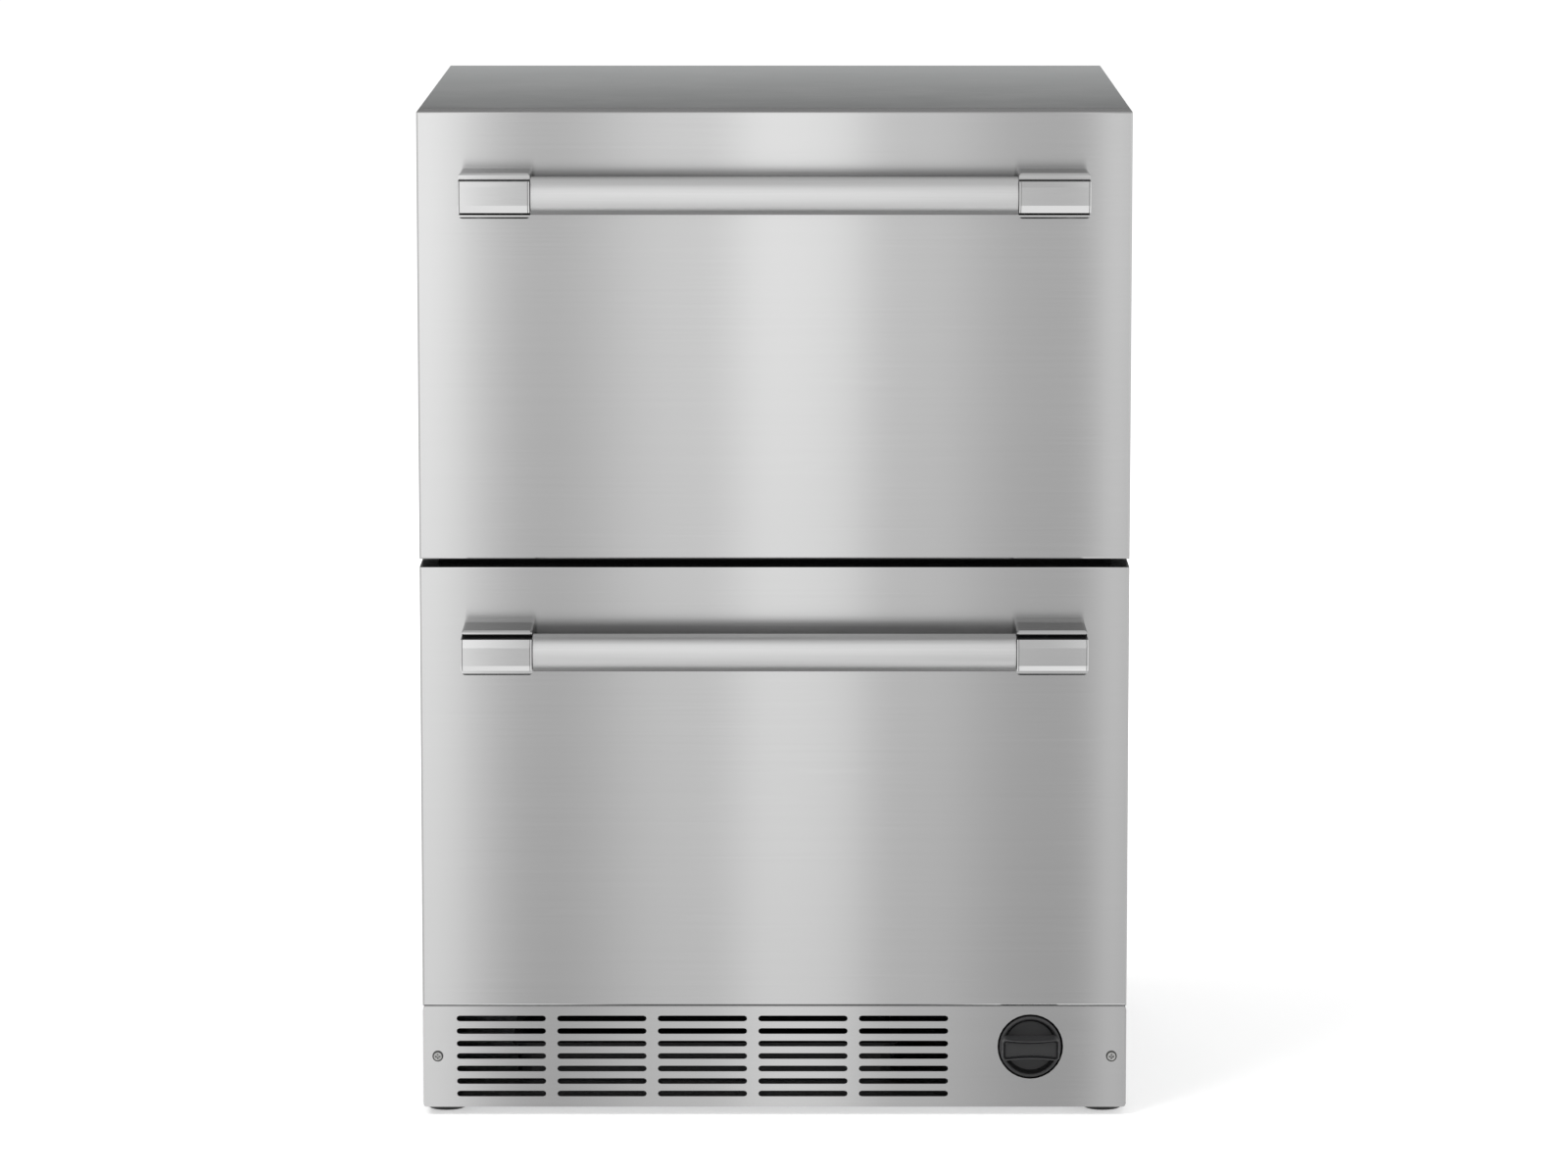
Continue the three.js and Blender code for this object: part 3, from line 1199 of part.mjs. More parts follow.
/** Cover over the evaporator, with rows of air slots and a bracket for the fan's motor. */
function evaporatorCover() {
  const half = OPENING_HALF - SEAT;
  const back = LOWER.back - SEAT;
  const plate = rectangle([-half, half], [NICHE_FLOOR - COVER_DROP, LOWER.ceiling - SEAT]);
  const offset = OPENING_HALF - COVER_SLOT_MARGIN - COVER_SLOT_LENGTH / 2;
  for (const row of [-1, 0, 1]) {
    for (const side of [-1, 0, 1]) {
      const left = side * offset - COVER_SLOT_LENGTH / 2;
      plate.holes.push(slot(left, COLD_FAN_Z + row * COVER_SLOT_PITCH, COVER_SLOT_LENGTH, COVER_SLOT_HEIGHT));
    }
  }
  const motorFront = COLD_FAN_Y + COLD_FAN_DEPTH / 2 + COLD_MOTOR_GAP;
  const motorBack = motorFront + COLD_MOTOR_LENGTH;
  const beamFront = motorBack - COVER_LEG - COLD_FAN_DEPTH / 2;
  const reach = COLD_FAN_RADIUS + COVER_LEG_GAP;
  const height = [COLD_FAN_Z - COVER_LEG, COLD_FAN_Z + COVER_LEG];
  const legs = [-1, 1].map((side) => block(
    [side < 0 ? -reach - COVER_LEG : reach, side < 0 ? -reach : reach + COVER_LEG],
    [back - OVERLAP, beamFront + COVER_LEG],
    height,
  ));
  const beam = block([-reach - COVER_LEG, reach + COVER_LEG], [beamFront, beamFront + COVER_LEG], height);
  const motor = rod(COLD_MOTOR_RADIUS, motorFront, motorBack, 'y', MEDIUM_ROUND);
  const shaft = rod(SHAFT_RADIUS, COLD_FAN_Y, motorFront + OVERLAP, 'y', COARSE_ROUND);
  return join(
    alongY(plate, back - COVER_SHEET, back),
    ...legs,
    beam,
    motor.translate(0, 0, COLD_FAN_Z),
    shaft.translate(0, 0, COLD_FAN_Z),
  );
}

/** Shallow tray that catches and evaporates the defrost water. */
function drainPan() {
  const tray = (grow, z0, z1) => alongZ(rectangle(
    [-grow, DRAIN_PAN_WIDTH + grow],
    [-grow, DRAIN_PAN_DEPTH + grow],
    DRAIN_PAN_CORNER,
  ), z0, z1);
  const body = join(
    tray(0, 0, DRAIN_PAN_HEIGHT),
    tray(DRAIN_PAN_RIM, DRAIN_PAN_HEIGHT - DRAIN_PAN_WALL, DRAIN_PAN_HEIGHT),
  );
  return cut(body, tray(-DRAIN_PAN_WALL, DRAIN_PAN_WALL, DRAIN_PAN_HEIGHT + OVERCUT));
}

// ---------------------------------------------------------------- inside the compartments

/** Sloping control strip under the ceiling, just behind the upper front. */
function controlPanel() {
  const top = UPPER.ceiling - SEAT;
  const front = CABINET_FACE + CONTROL_SETBACK;
  const back = front + CONTROL_DEPTH;
  const half = OPENING_HALF - CONTROL_MARGIN;
  return alongX(outline([
    [front, top], [front, top - CONTROL_LIP], [front + CONTROL_NOSE, top - CONTROL_HEIGHT],
    [back, top - CONTROL_NOSE], [back, top],
  ]), -half, half);
}

/** Light bar on the ceiling, behind the control strip. */
function lightBar() {
  const top = UPPER.ceiling - SEAT;
  const front = CABINET_FACE + LIGHT_SETBACK;
  const back = front + LIGHT_DEPTH;
  const low = top - LIGHT_HEIGHT;
  const half = OPENING_HALF - LIGHT_MARGIN;
  return alongX(outline([
    [front, top], [front, low + LIGHT_CHAMFER], [front + LIGHT_CHAMFER, low],
    [back - LIGHT_CHAMFER, low], [back, low + LIGHT_CHAMFER], [back, top],
  ]), -half, half);
}

const pocketPitch = ICE_LENGTH / FINGER_COUNT;

/** Ice maker about its ejector shaft along Y: cupped mould, motor box and hanger. */
function iceMaker() {
  const top = ICE_DROP - SEAT;
  const wall = MOULD_WALL / 2;
  const trough = common(
    rod(MOULD_OUTER, 0, ICE_LENGTH, 'y', ROUND),
    block([-MOULD_OUTER, MOULD_OUTER], [0, ICE_LENGTH], [-MOULD_OUTER, MOULD_RISE]),
  );
  const pockets = range(FINGER_COUNT).map((i) => (
    rod(MOULD_RADIUS, i * pocketPitch + wall, (i + 1) * pocketPitch - wall, 'y', MEDIUM_ROUND)
  ));
  const room = EJECTOR_RADIUS + EJECTOR_CLEARANCE;
  const groove = block([-room, room], [wall, ICE_LENGTH + OVERCUT], [-room, MOULD_RISE + OVERCUT]);
  const mould = cut(trough, ...pockets, groove);
  const motorBox = block([-MOULD_OUTER, MOULD_OUTER], [-ICE_MOTOR_DEPTH, OVERLAP], [-MOULD_OUTER, top]);
  const hanger = block([-MOULD_OUTER, -MOULD_OUTER + HANGER_SHEET], [0, ICE_LENGTH], [-room, top]);
  const shaftBore = rod(
    EJECTOR_RADIUS + SEAT,
    -EJECTOR_BEARING - EJECTOR_CLEARANCE,
    OVERLAP + OVERCUT,
    'y',
    COARSE_ROUND,
  );
  const armBore = rod(
    ARM_WIRE_RADIUS + 2 * SEAT,
    -ARM_PIVOT_LENGTH - EJECTOR_CLEARANCE,
    OVERLAP + OVERCUT,
    'y',
    COARSE_ROUND,
  );
  armBore.translate(MOULD_OUTER - ARM_PIVOT_INSET, 0, ARM_PIVOT_RISE);
  return cut(join(mould, motorBox, hanger), shaftBore, armBore);
}

/** Ejector: a shaft with one finger for each pocket of the mould. */
function iceEjector() {
  const shaft = rod(EJECTOR_RADIUS, -EJECTOR_BEARING, ICE_LENGTH - EJECTOR_CLEARANCE, 'y', COARSE_ROUND);
  const fingers = range(FINGER_COUNT).map((i) => {
    const y = (i + 0.5) * pocketPitch;
    return block(
      [-FINGER_THICKNESS / 2, FINGER_THICKNESS / 2],
      [y - FINGER_WIDTH / 2, y + FINGER_WIDTH / 2],
      [0, MOULD_RADIUS - FINGER_CLEARANCE],
    );
  });
  return join(shaft, ...fingers);
}

/** Wire arm that feels how full the store below is; its pivot runs along Y. */
function iceLevelArm() {
  const bend = ARM_BEND;
  return wire([
    [0, -ARM_PIVOT_LENGTH, 0],
    [0, 0, 0],
    [0, bend / 2, 0],
    [ARM_REACH / 2, bend, 0],
    [ARM_REACH, bend * 5 / 4, -bend / 4],
    [ARM_REACH, bend * 3 / 2, -ARM_DROP / 2],
    [ARM_REACH, bend * 2, -ARM_DROP + bend / 4],
    [ARM_REACH, bend * 4, -ARM_DROP],
    [ARM_REACH, ICE_LENGTH - ARM_END_GAP, -ARM_DROP],
  ], ARM_WIRE_RADIUS, ARM_STEPS, 6);
}

// ---------------------------------------------------------------- assembly

/** Colour, roughness and metalness of each finish. */
const FINISHES = {
  stainless: [0xc4c5c6, 0.32, 1],
  brushedBar: [0xcfd0d1, 0.28, 1],
  polished: [0xd6d7d8, 0.12, 1],
  cabinet: [0x8c8f90, 0.4, 0.9],
  galvanised: [0xa4a8aa, 0.5, 0.9],
  zinc: [0xb4b7ba, 0.35, 1],
  liner: [0xdfe1e2, 0.35, 0],
  binPlastic: [0xd2d8dc, 0.25, 0],
  blackPlastic: [0x1c1c1d, 0.45, 0],
  blackRubber: [0x151515, 0.8, 0],
  greyRubber: [0x55585a, 0.75, 0],
  foam: [0xe6d9a8, 0.95, 0],
  aluminium: [0xc9cccf, 0.4, 1],
  blackEnamel: [0x1b1c1e, 0.4, 0.6],
  whitePlastic: [0xeceeee, 0.5, 0],
  filterPlastic: [0xdfe4e8, 0.3, 0],
  lens: [0xf4f6f4, 0.2, 0],
};

function add(parent, name, geometry, finish, x = 0, y = 0, z = 0) {
  const [color, roughness, metalness] = FINISHES[finish];
  const mesh = new THREE.Mesh(geometry, new THREE.MeshStandardMaterial({ color, roughness, metalness }));
  mesh.name = name;
  mesh.position.set(x, y, z);
  parent.add(mesh);
}

function subGroup(parent, x = 0, y = 0, z = 0) {
  const group = new THREE.Group();
  group.position.set(x, y, z);
  parent.add(group);
  return group;
}

const SIDES = [['left', -1], ['right', 1]];

function addDrawer(parent, drawer) {
  const front = subGroup(parent, 0, 0, drawer.frontBottom);
  add(front, `${drawer.name}_front_panel`, frontPanel(), 'stainless');
  add(front, `${drawer.name}_front_core`, frontCore(drawer), 'liner');
  add(front, `${drawer.name}_gasket`, gasket(drawer), 'greyRubber');

  const handle = subGroup(front, 0, -BAR_STANDOFF, FRONT_HEIGHT - HANDLE_DROP);
  add(handle, `${drawer.name}_handle_bar`, handleBar(), 'brushedBar');
  for (const [sideName, side] of SIDES) {
    const name = `${drawer.name}_handle_bracket_${sideName}`;
    add(handle, name, handleBracket(drawer.grooveSide, side), 'polished', side * BRACKET_X);
  }

  add(parent, `${drawer.name}_bin`, bin(drawer), 'binPlastic');
  for (const [sideName, side] of SIDES) {
    add(parent, `${drawer.name}_rail_${sideName}`, fixedRail(drawer, side), 'zinc');
    add(parent, `${drawer.name}_middle_slide_${sideName}`, middleSlide(drawer, side), 'zinc');
    add(parent, `${drawer.name}_runner_${sideName}`, runner(drawer, side), 'zinc');
  }
}

function addCabinet(parent) {
  add(parent, 'cabinet_shell', cabinetShell(), 'cabinet');
  add(parent, 'insulation', insulation(), 'foam');
  add(parent, 'upper_liner', upperLiner(), 'liner');
  add(parent, 'lower_liner', lowerLiner(), 'liner');
  add(parent, 'mullion_trim', mullionTrim(), 'blackPlastic');
  add(parent, 'machine_bulkhead', machineBulkhead(), 'galvanised');
  add(parent, 'back_panel', backPanel(), 'galvanised');
  add(parent, 'machine_cover', machineCover(), 'galvanised');
  add(parent, 'control_panel', controlPanel(), 'blackPlastic');
  add(parent, 'light_bar', lightBar(), 'lens');
}

function addBase(parent) {
  add(parent, 'kick_plate', kickPlate(), 'stainless');
  add(parent, 'base_pan', basePan(), 'galvanised');
  for (const [sideName, side] of SIDES) {
    add(parent, `kick_screw_${sideName}`, kickScrew(), 'zinc', side * SCREW_X, 0, GRILLE_CENTRE);
  }
  for (const [place, side, y] of footPlaces) {
    add(parent, `foot_${place}`, levellingFoot(), 'blackRubber', side * (HALF - FOOT_INSET_X), y, 0);
  }
}

function addWater(parent) {
  const filter = subGroup(parent, FILTER_X, 0, FILTER_Z);
  add(filter, 'filter_cap', filterCap(), 'blackPlastic');
  add(filter, 'water_filter', waterFilter(), 'filterPlastic');
  add(filter, 'filter_head', filterHead(), 'whitePlastic');
  add(parent, 'water_valve', waterValve(), 'whitePlastic', VALVE_X, 0, VALVE_Z);
}

function addMachine(parent) {
  const floor = PAN_TOP + SEAT;
  const compressorX = HALF - COMPRESSOR_GAP - PLATE_MARGIN - COMPRESSOR_WIDTH / 2;
  const condenserX = -HALF + CONDENSER_GAP + CONDENSER_DEPTH / 2;
  const fanX = -HALF + CONDENSER_GAP + CONDENSER_DEPTH + FAN_COIL_GAP;
  add(parent, 'compressor', compressor(), 'blackEnamel', compressorX, MACHINE_CENTRE, floor);
  add(parent, 'condenser', condenser(), 'aluminium', condenserX, MACHINE_CENTRE, floor);
  const fan = subGroup(parent, fanX, MACHINE_CENTRE, floor + FAN_PLATE / 2);
  add(fan, 'condenser_fan_housing', condenserFanHousing(), 'blackPlastic');
  const rotor = fanRotor(FAN_OPENING_RADIUS - FAN_TIP_CLEARANCE, FAN_HUB_RADIUS, FAN_PLATE_THICKNESS);
  add(fan, 'condenser_fan_rotor', rotor.rotateZ(-Math.PI / 2), 'blackPlastic');
  add(parent, 'drain_pan', drainPan(), 'blackPlastic', -HALF + DRAIN_PAN_GAP_X, DRAIN_PAN_GAP_Y, floor);
  add(parent, 'power_inlet', powerInlet(), 'blackPlastic', INLET_X, 0, INLET_Z);
}

function addAirCircuit(parent) {
  const evaporatorY = UPPER.back - EVAPORATOR_BACK_GAP - EVAPORATOR_DEPTH / 2;
  add(parent, 'evaporator', evaporator(), 'aluminium', 0, evaporatorY, NICHE_FLOOR + SEAT);
  add(parent, 'evaporator_cover', evaporatorCover(), 'liner');
  const rotor = fanRotor(COLD_FAN_RADIUS, COLD_FAN_HUB_RADIUS, COLD_FAN_DEPTH);
  add(parent, 'evaporator_fan_rotor', rotor, 'whitePlastic', 0, COLD_FAN_Y, COLD_FAN_Z);
}

function addIceMaker(parent) {
  const ice = subGroup(parent, -OPENING_HALF + ICE_INSET, ICE_FRONT, LOWER.ceiling - ICE_DROP);
  add(ice, 'ice_maker', iceMaker(), 'whitePlastic');
  add(ice, 'ice_ejector', iceEjector(), 'whitePlastic');
  add(ice, 'ice_level_arm', iceLevelArm(), 'zinc', MOULD_OUTER - ARM_PIVOT_INSET, 0, ARM_PIVOT_RISE);
}

const refrigerator = new THREE.Group();
const model = subGroup(refrigerator, 0, -(DEPTH - BRACKET_NOSE_REACH) / 2, 0);
addCabinet(model);
addBase(model);
addWater(model);
addMachine(model);
addAirCircuit(model);
addIceMaker(model);
addDrawer(model, UPPER);
addDrawer(model, LOWER);

export default refrigerator;
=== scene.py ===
"""Dresses the drawer refrigerator's frame: finishes, fine pieces, studio and camera."""
import math

import bmesh
import bpy
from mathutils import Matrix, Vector


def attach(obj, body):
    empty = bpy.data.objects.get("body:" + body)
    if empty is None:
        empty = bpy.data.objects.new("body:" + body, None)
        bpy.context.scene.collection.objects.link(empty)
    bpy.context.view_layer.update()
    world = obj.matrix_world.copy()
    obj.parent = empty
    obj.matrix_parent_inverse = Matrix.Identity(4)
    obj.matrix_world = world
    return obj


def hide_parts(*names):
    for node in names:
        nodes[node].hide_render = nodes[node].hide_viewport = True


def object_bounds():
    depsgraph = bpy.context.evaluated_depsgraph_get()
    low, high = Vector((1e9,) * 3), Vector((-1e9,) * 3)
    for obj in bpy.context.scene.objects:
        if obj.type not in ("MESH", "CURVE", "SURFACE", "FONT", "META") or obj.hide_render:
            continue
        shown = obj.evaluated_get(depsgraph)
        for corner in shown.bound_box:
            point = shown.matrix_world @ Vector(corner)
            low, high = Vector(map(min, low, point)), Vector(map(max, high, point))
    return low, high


MM = 0.001

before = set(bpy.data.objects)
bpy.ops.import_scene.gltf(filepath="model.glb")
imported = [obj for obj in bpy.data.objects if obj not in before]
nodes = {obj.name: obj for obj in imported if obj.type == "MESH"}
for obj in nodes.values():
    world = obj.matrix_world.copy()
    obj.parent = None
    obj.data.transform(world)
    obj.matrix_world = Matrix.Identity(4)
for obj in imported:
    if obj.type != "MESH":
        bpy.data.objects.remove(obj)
cad_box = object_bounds()


# ---------------------------------------------------------------- materials

NOISE_ROUGHNESS = 0.55
EDGE_WEAR_AND_HIGHLIGHT = (0.51, 0.6)  # pointiness at which edge wear and the painted edge highlight start and are complete
SCUFF_CELLS = (9.0, 110.0, 110.0)
SCUFF_BAND = (0.66, 0.78)
SCUFFS_BRUSHED, SCUFFS_ROLLED = 0.015, 0.05
PAINTED_BACK_SHADE = (0.4, 0.009)  # tone of the painted shade on a bar's back, and metres over which it sets in
PAINTED_TOP_SHADING_FACE = (0.006, 0.001)  # metres below the top between which the painted front-to-back shading sets in
PAINTED_TOP_SHADING_SPAN = (-0.22, 0.33)  # y of the front and back of the top
TOP_Z = cad_box[1][2]
SPANGLE_CELLS = 140.0
LINE_RELIEF, MILL_RELIEF, FOAM_RELIEF = 0.0015, 0.006, 0.15  # heights in millimetres


class Finish:
    """A material under construction: its Principled shader and the textures that feed it."""

    def __init__(self, name, colour, roughness, metallic=0.0, **sockets):
        self.material = bpy.data.materials.new(name)
        self.material.use_nodes = True
        self.tree = self.material.node_tree
        self.shader = self.tree.nodes["Principled BSDF"]
        self.colour, self.roughness = colour, roughness
        self.set(self.shader, "Base Color", (*colour, 1))
        self.set(self.shader, "Roughness", roughness)
        self.set(self.shader, "Metallic", metallic)
        for socket, value in sockets.items():
            self.set(self.shader, socket.replace("_", " "), value)
        self.place = self.node("ShaderNodeTexCoord").outputs["Object"]

    def set(self, node, socket, value):
        """Sets a socket, or links it where value is another node's output."""
        if isinstance(value, bpy.types.NodeSocket):
            self.tree.links.new(value, node.inputs[socket])
        else:
            node.inputs[socket].default_value = value

    def node(self, kind, settings=(), **sockets):
        """Adds a node; _0, _1 and so on name its inputs by number."""
        made = self.tree.nodes.new(kind)
        for key, value in dict(settings).items():
            setattr(made, key, value)
        for socket, value in sockets.items():
            self.set(made, int(socket[1:]) if socket[1:].isdigit() else socket, value)
        return made

    def math(self, operation, *values):
        """Combines values or outputs with a maths node."""
        inputs = {f"_{index}": value for index, value in enumerate(values)}
        return self.node("ShaderNodeMath", {"operation": operation}, **inputs).outputs[0]

    def split(self):
        """The surface point's X, Y and Z, as outputs by name."""
        return self.node("ShaderNodeSeparateXYZ", _0=self.place).outputs

    def noise(self, cells, detail):
        """Noise with so many cells per metre along x, y and z."""
        scaled = self.node("ShaderNodeVectorMath", {"operation": "MULTIPLY"},
                           _0=self.place, _1=cells).outputs[0]
        return self.node("ShaderNodeTexNoise", Vector=scaled, Scale=1.0, Detail=detail,
                         Roughness=NOISE_ROUGHNESS).outputs["Fac"]

    def swing(self, pattern, low, high, start=0.3, end=0.7):
        """Maps a pattern's values from start to end to the range low to high."""
        return self.node("ShaderNodeMapRange", _0=pattern, _1=start, _2=end, _3=low,
                         _4=high).outputs[0]

    def vary_colour(self, factor):
        """Multiplies the base colour by factor, a value round 1."""
        made = self.node("ShaderNodeVectorMath", {"operation": "SCALE"}, _0=self.colour,
                         Scale=factor)
        self.set(self.shader, "Base Color", made.outputs[0])

    def vary_roughness(self, factor):
        """Multiplies the roughness by factor, a value round 1."""
        self.set(self.shader, "Roughness", self.math("MULTIPLY", factor, self.roughness))

    def bump(self, height, relief):
        """Raises the surface by a height pattern; relief is in millimetres."""
        made = self.node("ShaderNodeBump", Height=height, Distance=relief * MM, Strength=1.0)
        self.set(self.shader, "Normal", made.outputs["Normal"])

    def edge_wear_and_highlight(self, amount):
        """1 on faces, rising by amount on convex edges, as wear and a painted highlight."""
        edge = self.node("ShaderNodeNewGeometry").outputs["Pointiness"]
        return self.swing(edge, 1.0, 1.0 + amount, *EDGE_WEAR_AND_HIGHLIGHT)

    def scuffs(self, amount):
        """0 on clean metal, rising by amount along a few faint handling scratches."""
        return self.swing(self.noise(SCUFF_CELLS, 2.0), 0.0, amount, *SCUFF_BAND)

    def glow(self, level):
        """Makes the surface an emitter of that level."""
        made = self.node("ShaderNodeEmission", Strength=level)
        self.set(self.tree.nodes["Material Output"], "Surface", made.outputs[0])


def brushed(name, colour, roughness, anisotropy=0.9, fine=1.0, painted_shade_behind=None, **sockets):
    """Sheet or tube ground along the x axis: streaks along it, reflections smeared across.

    The metal may be painted darker behind the y given as painted_shade_behind, in metres, as
    shade.
    """
    made = Finish(name, colour, roughness, 1.0, Anisotropic=anisotropy, **sockets)
    tangent = made.node("ShaderNodeTangent", {"direction_type": "RADIAL", "axis": "X"})
    made.set(made.shader, "Tangent", tangent.outputs[0])
    lines = made.noise((6.0, 2200.0, 2200.0), 2.0)
    streaks = made.noise((2.2, 380.0, 380.0), 4.0)
    clouds = made.noise((7.0, 7.0, 7.0), 2.0)
    grain = made.math("ADD", made.swing(lines, -0.03 * fine, 0.03 * fine),
                      made.swing(streaks, -0.012 * fine, 0.012 * fine))
    tone = made.math("ADD", grain, made.swing(clouds, 0.995, 1.005))
    # painted shade: the side turned towards the drawer front is darker
    if painted_shade_behind is not None:
        level, depth = PAINTED_BACK_SHADE
        tone = made.math("MULTIPLY", tone, made.swing(made.split()["Y"], 1.0, level,
                                                      painted_shade_behind, painted_shade_behind + depth))
    made.vary_colour(made.math("ADD", tone, made.scuffs(SCUFFS_BRUSHED)))
    made.vary_roughness(made.math("ADD", made.swing(lines, 0.85, 1.15),
                                  made.swing(clouds, -0.04, 0.04)))
    made.bump(lines, LINE_RELIEF)
    return made.material


def rolled(name, colour, roughness, grain=0.03, spangle=0.0, painted_top_shading=0.0, **sockets):
    """Plain sheet metal: faint mill grain, soft clouds and, if galvanised, crystal spangle.

    The object's top may be painted darker at the front and lighter at the back, as shading.
    """
    made = Finish(name, colour, roughness, 1.0, **sockets)
    mill = made.noise((35.0, 900.0, 900.0), 3.0)
    clouds = made.noise((9.0, 9.0, 9.0), 3.0)
    tone = made.math("ADD", made.swing(mill, 1 - grain, 1 + grain),
                     made.swing(clouds, -0.03, 0.03))
    # painted shading on the top: darker at the front, lighter at the back
    if painted_top_shading:
        split = made.split()
        on_top = made.swing(split["Z"], 0.0, 1.0, *(TOP_Z - depth for depth in PAINTED_TOP_SHADING_FACE))
        along = made.swing(split["Y"], -painted_top_shading, painted_top_shading, *PAINTED_TOP_SHADING_SPAN)
        tone = made.math("MULTIPLY_ADD", along, on_top, tone)
    if spangle:
        scaled = made.node("ShaderNodeVectorMath", {"operation": "SCALE"}, _0=made.place,
                           Scale=SPANGLE_CELLS).outputs[0]
        cells = made.node("ShaderNodeTexVoronoi", Vector=scaled, Scale=1.0)
        crystals = made.node("ShaderNodeRGBToBW", Color=cells.outputs["Color"])
        tone = made.math("ADD", tone,
                         made.swing(crystals.outputs[0], -spangle, spangle, 0.0, 1.0))
    made.vary_colour(made.math("ADD", tone, made.scuffs(SCUFFS_ROLLED)))
    made.vary_roughness(made.math("ADD", made.swing(mill, 0.85, 1.15),
                                  made.swing(clouds, -0.1, 0.1)))
    made.bump(mill, MILL_RELIEF)
    return made.material


def moulded(name, colour, roughness, texture, relief, edge_wear_and_highlight, **sockets):
    """Moulded plastic, rubber or enamel: a fine surface texture, soft clouds, edges lighter
    from rubbing and a painted highlight.

    texture is in cells per metre, and edge_wear_and_highlight is how much lighter the convex
    edges are.
    """
    made = Finish(name, colour, roughness, **sockets)
    grain = made.noise((texture,) * 3, 2.0)
    clouds = made.noise((14.0,) * 3, 3.0)
    tone = made.math("ADD", made.swing(grain, 0.97, 1.03), made.swing(clouds, -0.03, 0.03))
    made.vary_colour(made.math("MULTIPLY", tone, made.edge_wear_and_highlight(edge_wear_and_highlight)))
    made.vary_roughness(made.math("ADD", made.swing(grain, 0.9, 1.1),
                                  made.swing(clouds, -0.08, 0.08)))
    made.bump(grain, relief)
    return made.material


def foam(name, colour, roughness):
    """Rigid foam: open cells and a mottled skin."""
    made = Finish(name, colour, roughness)
    cells = made.noise((420.0,) * 3, 4.0)
    mottle = made.noise((30.0,) * 3, 4.0)
    made.vary_colour(made.math("ADD", made.swing(cells, 0.9, 1.06),
                               made.swing(mottle, -0.06, 0.06)))
    made.bump(cells, FOAM_RELIEF)
    return made.material


def tint(level):
    """Grey edge tint for a metal's glancing reflections."""
    return (level, level, level, 1)


def plain_name(material):
    """A material's name without the number that tells it from one of the same name."""
    return material.name.split(".")[0]


FINISHES = {plain_name(made): made for made in (
    brushed("stainless", (0.56, 0.56, 0.56), 0.145, fine=0.45, Specular_Tint=tint(0.1)),
    # its back, turned towards the drawer front, is painted darker as shade
    brushed("handle_bar", (0.7, 0.7, 0.7), 0.4, anisotropy=0.0, fine=1.5, painted_shade_behind=-0.312,
            Specular_Tint=tint(0.4)),
    rolled("polished_bracket", (0.64, 0.64, 0.64), 0.1, 0.01, Specular_Tint=tint(0.4)),
    # its top is painted lighter towards the back as shading
    rolled("cabinet_steel", (0.363, 0.373, 0.373), 0.42, painted_top_shading=0.42,
           Specular_Tint=tint(0.55)),
    rolled("galvanised_steel", (0.5, 0.51, 0.52), 0.42, spangle=0.12),
    rolled("zinc_steel", (0.52, 0.52, 0.51), 0.3, 0.04),
    moulded("liner", (0.78, 0.79, 0.8), 0.35, 700.0, 0.01, 0.03),
    moulded("bin_plastic", (0.72, 0.74, 0.76), 0.3, 1100.0, 0.012, 0.04),
    # its edges are painted much lighter, mostly as a highlight along the grip's outline
    moulded("black_plastic", (0.027, 0.027, 0.028), 0.42, 1500.0, 0.02, 1.8),
    moulded("foot_plastic", (0.02, 0.02, 0.02), 0.55, 900.0, 0.03, 0.5),
    moulded("gasket_rubber", (0.06, 0.06, 0.062), 0.6, 900.0, 0.02, 0.2),
    foam("insulation_foam", (0.72, 0.6, 0.33), 0.9),
    # on the screws' flanges this dark grey is painted shade round the heads
    rolled("dulled_steel", (0.11, 0.11, 0.108), 0.4, 0.06),
    rolled("aluminium", (0.72, 0.72, 0.73), 0.35, 0.05),
    # also the black painted as shade in the brackets' grooves and lines and in the cap's
    # hollows
    moulded("black_enamel", (0.012, 0.012, 0.013), 0.3, 400.0, 0.03, 0.6),
    moulded("white_plastic", (0.78, 0.78, 0.77), 0.4, 1100.0, 0.015, 0.03),
    moulded("filter_plastic", (0.7, 0.72, 0.76), 0.3, 1100.0, 0.01, 0.03),
    moulded("lens", (0.88, 0.89, 0.9), 0.25, 500.0, 0.02, 0.0),
)}


# ---------------------------------------------------------------- carried-over solids

PERFORATED = ("kick_plate", "machine_cover")
WELD_REACH = 0.005  # lengths in this section are in millimetres
FLATTEN_DEGREES = 0.4
BEVEL_DEGREES = 35
CURVED_DEGREES, FLAT_DEGREES = 15, 2  # edges sharper than this stay sharp
EVEN_WEIGHT = 100  # large faces alone set the normals at a bevel
EASE = {"upper_front_panel": 0.4, "lower_front_panel": 0.4, "kick_plate": 0.12,
        "cabinet_shell": 0.5, "upper_bin": 0.8, "lower_bin": 0.8}
DEFAULT_EASE = 0.3


